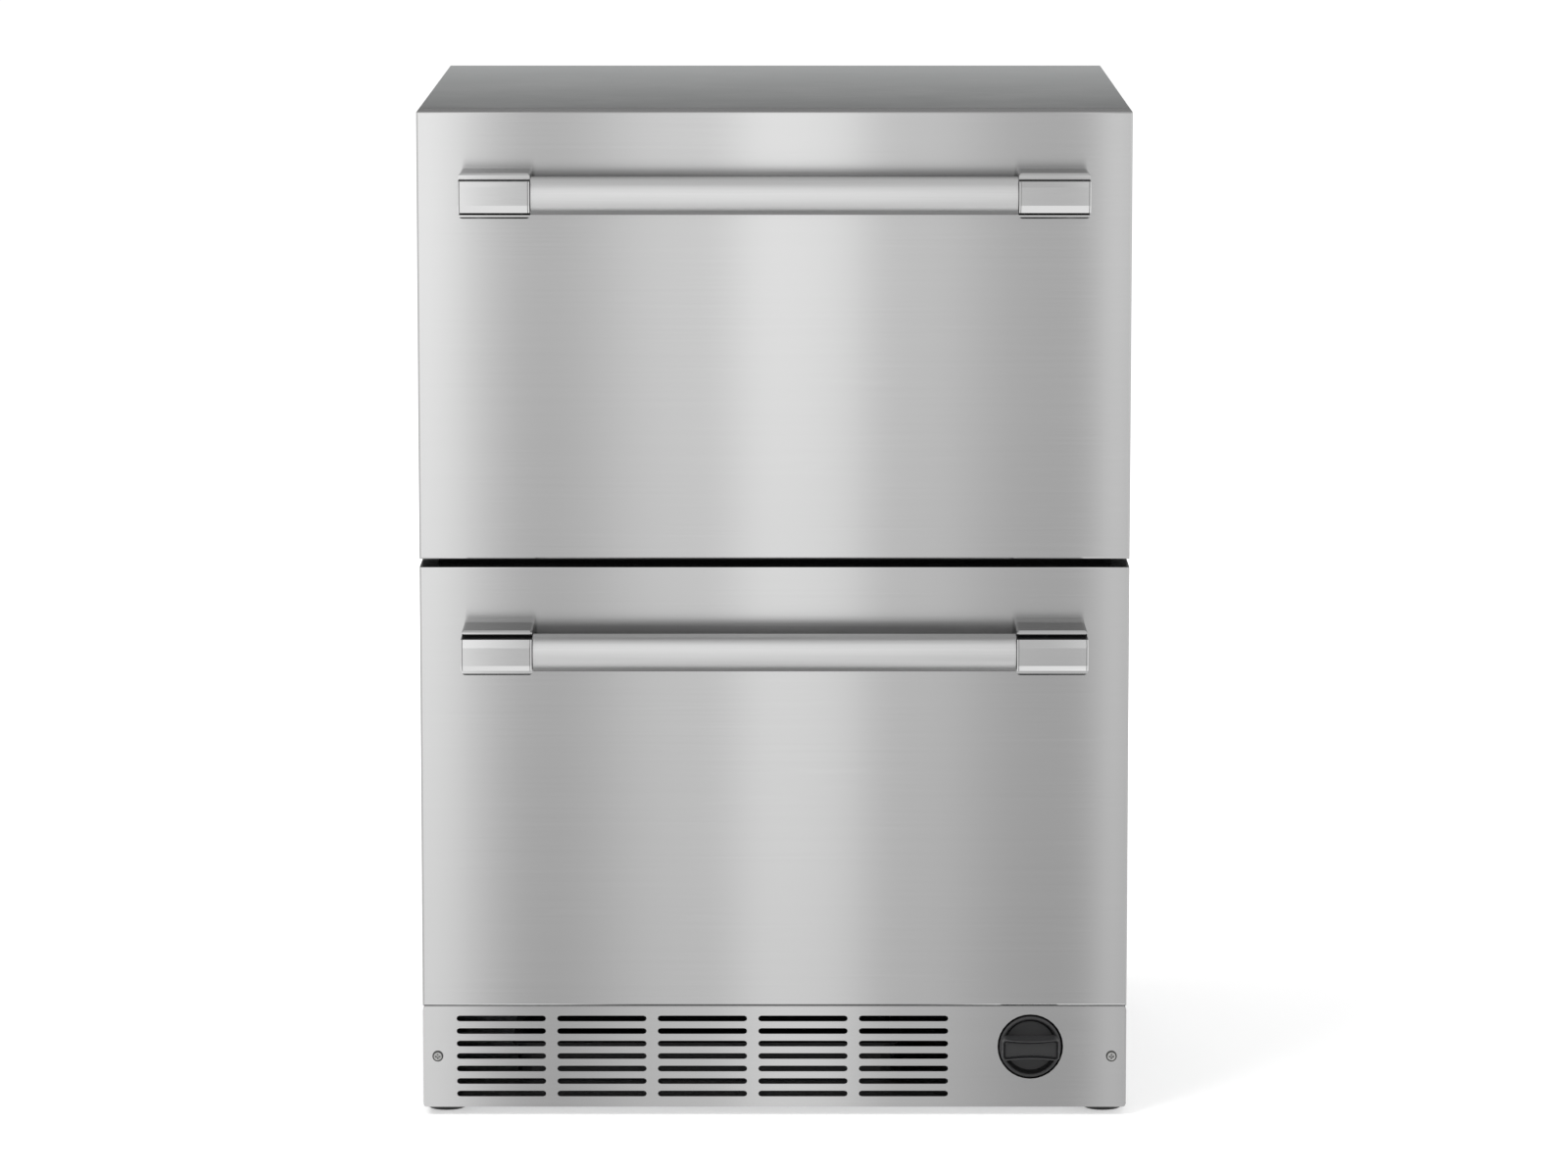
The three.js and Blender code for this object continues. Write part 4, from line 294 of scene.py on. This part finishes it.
def smooth_shading(name, degrees):
    """A node group that shades edges below an angle smooth and all others sharp."""
    group = bpy.data.node_groups.new(name, "GeometryNodeTree")
    group.interface.new_socket("Geometry", in_out="INPUT", socket_type="NodeSocketGeometry")
    group.interface.new_socket("Geometry", in_out="OUTPUT", socket_type="NodeSocketGeometry")
    source, sink = group.nodes.new("NodeGroupInput"), group.nodes.new("NodeGroupOutput")
    normals = group.nodes.new("GeometryNodeSetMeshNormal")
    normals.mode = "SHARPNESS"
    normals.inputs["Remove Custom"].default_value = True
    angle = group.nodes.new("GeometryNodeInputMeshEdgeAngle")
    sharp = group.nodes.new("FunctionNodeCompare")
    sharp.operation = "GREATER_THAN"
    sharp.inputs[1].default_value = math.radians(degrees)
    group.links.new(angle.outputs["Unsigned Angle"], sharp.inputs[0])
    group.links.new(source.outputs[0], normals.inputs["Mesh"])
    group.links.new(sharp.outputs[0], normals.inputs["Edge Sharpness"])
    group.links.new(normals.outputs[0], sink.inputs[0])
    return group


SMOOTH = smooth_shading("smooth_by_angle", CURVED_DEGREES)
FLAT = smooth_shading("flat_faces", FLAT_DEGREES)


def soften(made, width, segments=2, curved=True):
    """Bevels sharp edges narrowly and shades curved faces smooth, flat ones flat."""
    if width:
        bevel = made.modifiers.new("bevel", "BEVEL")
        bevel.width, bevel.segments = width * MM, segments
        bevel.limit_method, bevel.angle_limit = "ANGLE", math.radians(BEVEL_DEGREES)
    shade = made.modifiers.new("shade", "NODES")
    shade.node_group = SMOOTH if curved else FLAT
    if curved:
        even = made.modifiers.new("even", "WEIGHTED_NORMAL")
        even.keep_sharp, even.weight = True, EVEN_WEIGHT


def carry_over(node, width):
    """Joins and flattens a solid's triangles, then softens it and gives it its finish.

    A perforated sheet keeps its triangles, because joined ones shade unevenly.
    """
    weld = node.modifiers.new("weld", "WELD")
    weld.merge_threshold = WELD_REACH * MM
    curved = node.name not in PERFORATED
    if curved:
        flatten = node.modifiers.new("flatten", "DECIMATE")
        flatten.decimate_type = "DISSOLVE"
        flatten.angle_limit = math.radians(FLATTEN_DEGREES)
    soften(node, width, curved=curved)
    for material_slot in node.material_slots:
        material_slot.material = FINISHES[plain_name(material_slot.material)]


for node_name, node in nodes.items():
    carry_over(node, EASE.get(node_name, DEFAULT_EASE))


# ---------------------------------------------------------------- fine pieces, in millimetres

SIDES = ((-1, "left"), (1, "right"))
CORNERS = ((-1, -1), (1, -1), (1, 1), (-1, 1))  # of a rectangle, anticlockwise
FACE_Y = -269.85  # face of the drawer fronts and the kick plate
SEAT = 0.3  # between a piece and what it rests on
PIECE_SEGMENTS = 3  # of a bevel

BAR_Y = -314.05
HANDLES = {"upper": 799.4, "lower": 410.9}  # height of each bar's axis
BAR_RADIUS = 16.0
BAR_HALF = 205.2
BAR_EASE = 0.6
BAR_SEGMENTS = 128
BAR_BEVEL = 0.2
SPIGOT_RADIUS = 9.0
SPIGOT_TIP = 220.2

BRACKET_INNER = 205.5
BRACKET_OUTER = 265.7
BRACKET_HALF = 19.2
BRACKET_BEVEL = 0.25
BLOCK_FRONT = 2.8  # from the bar's axis forwards
BLOCK_EASE = 1.6
BLOCK_CORNER = 3.0
CORNER_STATIONS = (0, 0.25, 0.6)  # from an end, where the corner's curve is steepest
NOSE_FRONT = 19.1
NOSE_HALF = 13.2
NOSE_FACE = (-6.7, 8.6)  # flat of the nose between its two slopes
NOSE_SLOPES = (4.2, 2.5)  # how far the slopes run back below and above it
NOSE_CHAMFER = 1.0
GROOVE_END = 16.1
GROOVE_FLOOR = -10.2
LINE_END = 13.8
LINE_FLOOR = 1.2
END_LINE = (1.15, 1.6, 0.35)  # fine line round the nose: start and end from its end, depth
END_LINE_STEEPNESS = 5  # of its walls: depth over width
END_LINE_ROWS = (4, 5, 6)  # rows and steps of the bracket's skin that the fine lines take, painted black as shade; the groove's steps are painted black as shade too
NOSE_STEPS = (6, 7, 8)
GROOVE_STEPS = (3, 4, 5, 10, 11)

CAP_X, CAP_Z = 220.5, 60.5
CAP_RADIUS = 26.6
CAP_BACK = 20.0
CAP_EASE = 0.8
CAP_SEGMENTS = 144
CAP_BEAD = 1.6
CAP_BEAD_PROUD = 1.5
CAP_BEAD_STEPS = 12
DISH_RADIUS = 23.0
DISH_DEPTH = 5.0
DISH_WALL = ((1.0, 0.8), (1.8, 0.0))  # its foot: in from the radius, up from the floor
DISH_SHADE = range(10, 63)  # steps of its wall, anticlockwise from the right, painted black as the rim's shadow
GRIP_HALF = (24.5, 9.15)
GRIP_CORNER = 3.2
GRIP_CORNER_LEAST = 0.6
GRIP_CORNER_LOSS = 0.6  # of the corner's radius for each millimetre of inset
GRIP_WAIST = 1.4
GRIP_WAIST_STEPS = 8  # from a corner to the middle
GRIP_CORNER_STEPS = 6
GRIP_REACH = 16.0
GRIP_ROOT = (-0.5, 0.4)  # inset of its outline and depth under the dish's floor
GRIP_RIM = ((-0.1, 1.2), (0.05, 0.5), (0.3, 0.1), (0.6, 0.0), (0.85, 0.15), (1.1, 0.6),
            (2.6, 3.2), (3.4, 3.6))  # inset and depth under its reach, over into the hollow
GRIP_RECESS = (6, 7)  # rows of the grip's skin that form the wall of its hollow, painted black as shade

SCREW_X, SCREW_Z = 290.5, 52.2
SCREW_SHANK = (2.0, -16.0)  # radius and tip
SCREW_HEAD = ((4.7, 0.25), (4.7, 0.75), (4.45, 0.95), (3.9, 0.95), (3.7, 1.3), (3.4, 1.7),
              (3.1, 1.85), (2.4, 2.05), (1.2, 2.18), (0.2, 2.2))
SCREW_RING = (2, 3, 4, 5)  # rows of the head's skin that form its flange, painted dark as the shade round the head
SCREW_SEGMENTS = 48
SCREW_CROSS = (2.4, 0.6)  # half length and half width of its recess
CROSS_TAPER = ((1.25, 0.55), (2.2, 1.0), (4.0, 1.2))  # distance from the plate and scale

SEAM_HEIGHTS = (95.1, 96.0, 96.3)  # foot, shoulder and top of the strip over the kick plate
SEAM_SET_BACK = 0.25
SEAM_DEPTH = 30.0
SEAM_SHEET = 0.6
SEAM_HALF = 302.2


class Form:
    """Points and faces of a piece under construction."""

    def __init__(self):
        self.points, self.faces, self.painted_shade = [], [], []

    def loft(self, sections, painted_shade=lambda row, step: False):
        """Skins sections of equal length; the faces that painted_shade picks take the darker
        second finish, painted as shade.
        """
        first, count = len(self.points), len(sections[0])
        for section in sections:
            self.points += section
        for row in range(len(sections) - 1):
            low = first + row * count
            high = low + count
            for step in range(count):
                after = (step + 1) % count
                if painted_shade(row, step):
                    self.painted_shade.append(len(self.faces))
                self.faces.append((low + step, low + after, high + after, high + step))
        last = first + (len(sections) - 1) * count
        self.faces += [tuple(range(end, end + count)) for end in (first, last)]
        return self

    def mesh_object(self, name, finishes):
        """The form as an object, its faces turned outwards."""
        mesh = bpy.data.meshes.new(name)
        mesh.from_pydata([Vector(point) * MM for point in self.points], [], self.faces)
        for finish in finishes:
            mesh.materials.append(FINISHES[finish])
        # faces picked as painted shade take the darker second finish
        for index in self.painted_shade:
            mesh.polygons[index].material_index = 1
        sculpt = bmesh.new()
        sculpt.from_mesh(mesh)
        bmesh.ops.recalc_face_normals(sculpt, faces=sculpt.faces)
        sculpt.to_mesh(mesh)
        sculpt.free()
        made = bpy.data.objects.new(name, mesh)
        bpy.context.scene.collection.objects.link(made)
        return made

    def piece(self, name, body, finishes, stands_for=(), ease=0.0):
        """The form as a finished piece on its body."""
        made = self.mesh_object(name, finishes)
        finish_piece(made, body, stands_for, ease)


def finish_piece(made, body, stands_for, ease):
    """Softens a piece, sets it on its body and lets it stand for the solids it replaces."""
    soften(made, ease, PIECE_SEGMENTS)
    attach(made, body)
    if stands_for:
        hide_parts(*stands_for)


def arc(steps, start, end):
    """Angles from start to end degrees, both included, in radians."""
    return [math.radians(start + (end - start) * step / steps) for step in range(steps + 1)]


def lathe(profile, segments):
    """Sections of a turned form from (radius, distance along its axis) pairs."""
    turn = arc(segments, 0, 360)[:-1]
    return [[(distance, radius * math.cos(angle), radius * math.sin(angle))
             for angle in turn] for radius, distance in profile]


def along_x(sections, y, z):
    """Puts sections with their axis along x."""
    return [[(t, y + u, z + v) for t, u, v in section] for section in sections]


def facing_front(sections, x, z):
    """Puts sections with their axis towards the viewer; 0 lies on the kick plate's face."""
    return [[(x + u, FACE_Y - t, z + v) for t, u, v in section] for section in sections]


def make_bar(row, z):
    """A round bar with a spigot at each end; two rings between them shorten its long faces."""
    half = [(SPIGOT_RADIUS, SPIGOT_TIP), (SPIGOT_RADIUS, BAR_HALF),
            (BAR_RADIUS - BAR_EASE, BAR_HALF), (BAR_RADIUS, BAR_HALF - BAR_EASE),
            (BAR_RADIUS, BAR_HALF / 3)]
    profile = [(radius, -x) for radius, x in half] + half[::-1]
    form = Form().loft(along_x(lathe(profile, BAR_SEGMENTS), BAR_Y, z))
    form.piece(f"{row}_bar", f"{row}_drawer", ["handle_bar"], [f"{row}_handle_bar"],
               BAR_BEVEL)


def bracket_outline():
    """Bracket's section as (forwards, up) from the bar's axis, groove at the bottom."""
    back = FACE_Y - BAR_Y - SEAT
    nose = [(NOSE_FRONT - NOSE_SLOPES[0], -NOSE_HALF), (NOSE_FRONT, NOSE_FACE[0]),
            (NOSE_FRONT, NOSE_FACE[1]), (NOSE_FRONT - NOSE_SLOPES[1], NOSE_HALF)]
    return [(-back, -BRACKET_HALF), (BLOCK_FRONT - BLOCK_EASE, -BRACKET_HALF),
            (BLOCK_FRONT, -BRACKET_HALF + BLOCK_EASE), (BLOCK_FRONT, -GROOVE_END),
            (GROOVE_FLOOR, -GROOVE_END), (GROOVE_FLOOR, -NOSE_HALF), *nose,
            (LINE_FLOOR, NOSE_HALF), (LINE_FLOOR, LINE_END), (BLOCK_FRONT, LINE_END),
            (BLOCK_FRONT, BRACKET_HALF - BLOCK_EASE), (BLOCK_FRONT - BLOCK_EASE, BRACKET_HALF),
            (-back, BRACKET_HALF)]


def corner_cut(radius, end):
    """How far a corner of that radius falls away at a distance from the end."""
    return radius - math.sqrt(radius ** 2 - max(0, radius - end) ** 2)


def make_bracket(row, z, side, side_name):
    """A polished bracket with round corners; its groove is on the side of the other row."""
    flip = 1 if row == "upper" else -1
    line_start, line_end, line_depth = END_LINE
    line_wall = line_depth / END_LINE_STEEPNESS
    stations = [*CORNER_STATIONS, NOSE_CHAMFER, line_start, line_start + line_wall,
                line_end - line_wall, line_end, BLOCK_CORNER]
    length = BRACKET_OUTER - BRACKET_INNER
    sections = []
    for station in stations + [length - station for station in reversed(stations)]:
        end = min(station, length - station)
        high = BRACKET_HALF - corner_cut(BLOCK_CORNER, end)
        front = NOSE_FRONT - max(0, NOSE_CHAMFER - end)
        if line_start < end < line_end:
            front -= line_depth
        sections.append([(side * (BRACKET_INNER + station), BAR_Y - min(forwards, front),
                          z + flip * max(-high, min(high, up)))
                         for forwards, up in bracket_outline()])
    last_row = len(sections) - 2
    # the groove and the fine lines take black enamel as painted shade
    form = Form().loft(sections, lambda row, step: step in GROOVE_STEPS or (
        step in NOSE_STEPS and min(row, last_row - row) in END_LINE_ROWS))
    form.piece(f"{row}_bracket_{side_name}", f"{row}_drawer",
               ["polished_bracket", "black_enamel"],
               [f"{row}_handle_bracket_{side_name}"], BRACKET_BEVEL)


def grip_outline(inset, reach):
    """Outline of the cap's waisted grip as a section at reach from the kick plate's face."""
    half_x, half_z = (half - inset for half in GRIP_HALF)
    corner = max(GRIP_CORNER - inset * GRIP_CORNER_LOSS, GRIP_CORNER_LEAST)
    straight = half_x - corner
    turns = arc(GRIP_CORNER_STEPS, 0, 90)
    points = []
    for side in (1, -1):
        for step in range(2 * GRIP_WAIST_STEPS + 1):
            x = side * straight * (1 - step / GRIP_WAIST_STEPS)
            points.append((x, side * (half_z - GRIP_WAIST * (1 - (x / straight) ** 2))))
        points += [(-side * (straight + corner * math.sin(turn)),
                    side * (half_z - corner * (1 - math.cos(turn)))) for turn in turns[1:]]
        points += [(-side * (straight + corner * math.cos(turn)),
                    -side * (half_z - corner * (1 - math.sin(turn)))) for turn in turns[:-1]]
    return [(reach, x, z) for x, z in points]


def make_cap():
    """The filter's twist-out cap: a beaded rim, a dish, and a hollow grip across it; shade in
    the dish and in the hollow is painted black.
    """
    bead = [(CAP_RADIUS - CAP_BEAD * (1 - math.cos(turn)), CAP_BEAD_PROUD * math.sin(turn))
            for turn in arc(CAP_BEAD_STEPS, 0, 180)]
    wall = [(DISH_RADIUS - inwards, -DISH_DEPTH + up) for inwards, up in DISH_WALL]
    rim = [(CAP_RADIUS - CAP_EASE, -CAP_BACK), (CAP_RADIUS, -CAP_BACK + CAP_EASE),
           *bead, *wall]
    wall_row = len(rim) - len(wall) - 1
    root_inset, root_depth = GRIP_ROOT
    grip = [grip_outline(root_inset, -DISH_DEPTH - root_depth)]
    grip += [grip_outline(inset, GRIP_REACH - depth) for inset, depth in GRIP_RIM]
    # the dish's upper wall takes black enamel as a painted shadow
    form = Form().loft(facing_front(lathe(rim, CAP_SEGMENTS), CAP_X, CAP_Z),
                       lambda row, step: row >= wall_row and step in DISH_SHADE)
    # the wall of the grip's hollow takes black enamel as painted shade
    form.loft(facing_front(grip, CAP_X, CAP_Z), lambda row, step: row in GRIP_RECESS)
    form.piece("twist_cap", "cap", ["black_plastic", "black_enamel"], ["filter_cap"])


def carve(made, cutter):
    """Cuts one form out of another for good and drops the cutter."""
    cut = made.modifiers.new("cut", "BOOLEAN")
    cut.object, cut.solver = cutter, "EXACT"
    graph = bpy.context.evaluated_depsgraph_get()
    carved = bpy.data.meshes.new_from_object(made.evaluated_get(graph))
    made.modifiers.remove(cut)
    made.data = carved
    bpy.data.objects.remove(cutter)


def make_screw(side, side_name):
    """A cross-recessed pan head with its flange, and the shank behind it; the flange is
    painted dark as shade.
    """
    x = side * SCREW_X
    shank, tip = SCREW_SHANK
    profile = [(shank, tip), (shank, SCREW_HEAD[0][1]), *SCREW_HEAD]
    # the flange takes dulled steel as painted shade round the head
    finishes = ["zinc_steel", "dulled_steel"]
    form = Form().loft(facing_front(lathe(profile, SCREW_SEGMENTS), x, SCREW_Z),
                       lambda row, step: row in SCREW_RING)
    made = form.mesh_object(f"panel_screw_{side_name}", finishes)
    for half_x, half_z in (SCREW_CROSS, SCREW_CROSS[::-1]):
        slot = [[(distance, u * half_x * scale, v * half_z * scale) for u, v in CORNERS]
                for distance, scale in CROSS_TAPER]
        cutter = Form().loft(facing_front(slot, x, SCREW_Z), lambda row, step: True)
        carve(made, cutter.mesh_object("cutter", finishes))
    finish_piece(made, "cabinet", [f"kick_screw_{side_name}"], 0.0)


def make_seam_strip():
    """A folded strip on the kick plate's top edge, closing the seam under the lower front."""
    foot, shoulder, top = SEAM_HEIGHTS
    face, back = FACE_Y + SEAM_SET_BACK, FACE_Y + SEAM_DEPTH
    outline = [(face, foot), (face, shoulder), (face + top - shoulder, top), (back, top),
               (back, top - SEAM_SHEET), (face + SEAM_SHEET, top - SEAM_SHEET),
               (face + SEAM_SHEET, foot)]
    form = Form().loft([[(x, y, z) for y, z in outline] for x in (-SEAM_HALF, SEAM_HALF)])
    form.piece("kick_top_edge", "cabinet", ["stainless"])


def make_pieces():
    """All the fine pieces."""
    for row, z in HANDLES.items():
        make_bar(row, z)
        for side, side_name in SIDES:
            make_bracket(row, z, side, side_name)
    make_cap()
    for side, side_name in SIDES:
        make_screw(side, side_name)
    make_seam_strip()


make_pieces()


# ---------------------------------------------------------------- studio, in metres

STRIPS = (  # centre, half width and strength of the soft upright lights in front
    (-0.343, 0.069, 0.748),
    (-0.096, 0.092, 0.366),
    (-0.017, 0.037, 0.278),
    (0.038, 0.052, 0.502),
    (0.076, 0.029, 0.096),
    (0.146, 0.065, 0.231),
    (0.327, 0.021, 0.383),
)
STRIP_FILL = 0.672
STRIPS_FADE = (0.42, 0.8)  # from the middle, where the strips give way to an even white
CARD_Y = -1.0
CARD_REACH = 3.5
CARD_LOW = (0.74, 1.02, -0.3, 0.7)  # two levels of the card and the heights where they hold
CARD_HIGH = (1.0, 0.6, 1.2, 3.2)
CARD_LOWEST = (0.45, 1.0, -1.5, -0.3)
FIELD_BESIDE = (0.17, 0.24)  # from the middle, where a field for the brackets sets in
FIELD_BELOW = (1.0, 0.0, -0.6, -0.25)  # its share and the heights where it holds
FIELD_LEVEL = 1.15
CEILING = (2.6, 0.6)  # height and level of a sheet that only metal mirrors
PIT = (-3.4, 0.4)
FLOOR_REACH = 30.0
FLOOR_GLOW = (0.42, 0.62, 0.6, 2.2)  # two levels and the distances where they hold
DAYLIGHT = 0.5  # what the surroundings give matt surfaces
LAMPS = {  # place, aim, diameter and power
    "key": ((-1.8, -2.4, 3.4), (0, 0, 0.4), 2.0, 70),
    "fill": ((2.6, -2.0, 1.6), (0, 0, 0.5), 2.4, 20),
    "back": ((0.5, 3.0, 2.6), (0, 0, 0.5), 2.4, 32),
}


def sheet(name, corners, material):
    """A stage object of one face."""
    mesh = bpy.data.meshes.new(name)
    mesh.from_pydata(corners, [], [(0, 1, 2, 3)])
    mesh.materials.append(material)
    made = bpy.data.objects.new(name, mesh)
    bpy.context.scene.collection.objects.link(made)
    return made


def level_sheet(name, reach, z, material):
    """A level stage object of one face."""
    return sheet(name, [(x * reach, y * reach, z) for x, y in CORNERS], material)


def card_material():
    """Soft upright strips side by side, dimmer towards the floor and the ceiling."""
    made = Finish("light_strips", (1, 1, 1), 0.5)
    split = made.split()
    level = STRIP_FILL
    for centre, width, strength in STRIPS:
        offset = made.math("DIVIDE", made.math("SUBTRACT", split["X"], centre), width)
        spread = made.math("MULTIPLY", made.math("MULTIPLY", offset, offset), -1.0)
        level = made.math("MULTIPLY_ADD", made.math("EXPONENT", spread), strength, level)
    from_middle = made.math("ABSOLUTE", split["X"])
    aside = made.swing(from_middle, 0.0, 1.0, *STRIPS_FADE)
    level = made.math("MULTIPLY_ADD", made.math("SUBTRACT", 1.0, level), aside, level)
    low, high, lowest = (made.swing(split["Z"], *levels)
                         for levels in (CARD_LOW, CARD_HIGH, CARD_LOWEST))
    level = made.math("MULTIPLY", level, made.math("MULTIPLY", low, high))
    level = made.math("MULTIPLY", level, lowest)
    field = made.math("MULTIPLY", made.swing(from_middle, 0.0, 1.0, *FIELD_BESIDE),
                      made.swing(split["Z"], *FIELD_BELOW))
    level = made.math("MULTIPLY_ADD", made.math("SUBTRACT", FIELD_LEVEL, level), field, level)
    made.glow(level)
    return made.material


def even_glow(name, level):
    """An evenly glowing surface for metal to mirror."""
    made = Finish(name, (1, 1, 1), 0.5)
    made.glow(level)
    return made.material


def floor_material():
    """Pale floor that shows white to the camera and keeps the object's shadow."""
    made = Finish("studio_floor", (0.9, 0.9, 0.9), 0.8)
    seen = made.node("ShaderNodeLightPath").outputs["Is Camera Ray"]
    made.set(made.shader, "Specular IOR Level", 0.0)
    made.set(made.shader, "Emission Color", (1, 1, 1, 1))
    away = made.node("ShaderNodeVectorMath", {"operation": "LENGTH"}, _0=made.place)
    glow = made.swing(away.outputs["Value"], *FLOOR_GLOW)
    made.set(made.shader, "Emission Strength", made.math("MULTIPLY", seen, glow))
    return made.material


def make_world():
    """White to the camera, to metal and to glass; plain soft daylight to matt surfaces."""
    world = bpy.data.worlds.new("studio")
    bpy.context.scene.world = world
    world.use_nodes = True
    tree = world.node_tree
    path = tree.nodes.new("ShaderNodeLightPath")
    seen = path.outputs["Is Camera Ray"]
    for ray in ("Is Glossy Ray", "Is Transmission Ray"):
        either = tree.nodes.new("ShaderNodeMath")
        either.operation = "MAXIMUM"
        tree.links.new(seen, either.inputs[0])
        tree.links.new(path.outputs[ray], either.inputs[1])
        seen = either.outputs[0]
    level = tree.nodes.new("ShaderNodeMapRange")
    tree.links.new(seen, level.inputs[0])
    level.inputs["To Min"].default_value = DAYLIGHT
    sky = tree.nodes["Background"]
    sky.inputs["Color"].default_value = (1, 1, 1, 1)
    tree.links.new(level.outputs[0], sky.inputs["Strength"])


def make_lamp(name, place, aim, size, power):
    """A large soft lamp that metal doesn't mirror."""
    light = bpy.data.lights.new(name, "AREA")
    light.shape, light.size, light.energy = "DISK", size, power
    made = bpy.data.objects.new(name, light)
    made.location = place
    made.rotation_mode = "QUATERNION"
    made.rotation_quaternion = (Vector(aim) - Vector(place)).to_track_quat("-Z", "Y")
    made.visible_glossy = False
    bpy.context.scene.collection.objects.link(made)


def make_studio():
    """A pale floor, sheets in front, above and below for metal to mirror, and three lamps."""
    floor = level_sheet("floor", FLOOR_REACH, 0, floor_material())
    floor.visible_glossy = False
    reflectors = [sheet("light_strips", [(x * CARD_REACH, CARD_Y, z * CARD_REACH)
                                         for x, z in CORNERS], card_material())]
    for name, (z, level) in {"ceiling": CEILING, "pit": PIT}.items():
        reflectors.append(level_sheet(name, CARD_REACH, z, even_glow(name, level)))
    for reflector in reflectors:
        reflector.visible_camera = reflector.visible_diffuse = False
        reflector.visible_shadow = reflector.visible_transmission = False
        reflector.visible_volume_scatter = False
    make_world()
    for name, settings in LAMPS.items():
        make_lamp(name, *settings)


CAMERA_PLACE = (0.00809, -6.0546, 1.28291)
CAMERA_TILT = 8.096  # degrees below the horizon
CAMERA_LENS = 157.03
CAMERA_SENSOR = 36


def make_camera():
    """The photograph's camera, level from side to side and without shift."""
    camera = bpy.data.objects.new("camera", bpy.data.cameras.new("camera"))
    camera.data.lens, camera.data.sensor_width = CAMERA_LENS, CAMERA_SENSOR
    camera.location = CAMERA_PLACE
    camera.rotation_euler = (math.radians(90 - CAMERA_TILT), 0, 0)
    bpy.context.scene.collection.objects.link(camera)
    bpy.context.scene.camera = camera


make_studio()
make_camera()
bpy.context.scene.view_settings.view_transform = "Standard"
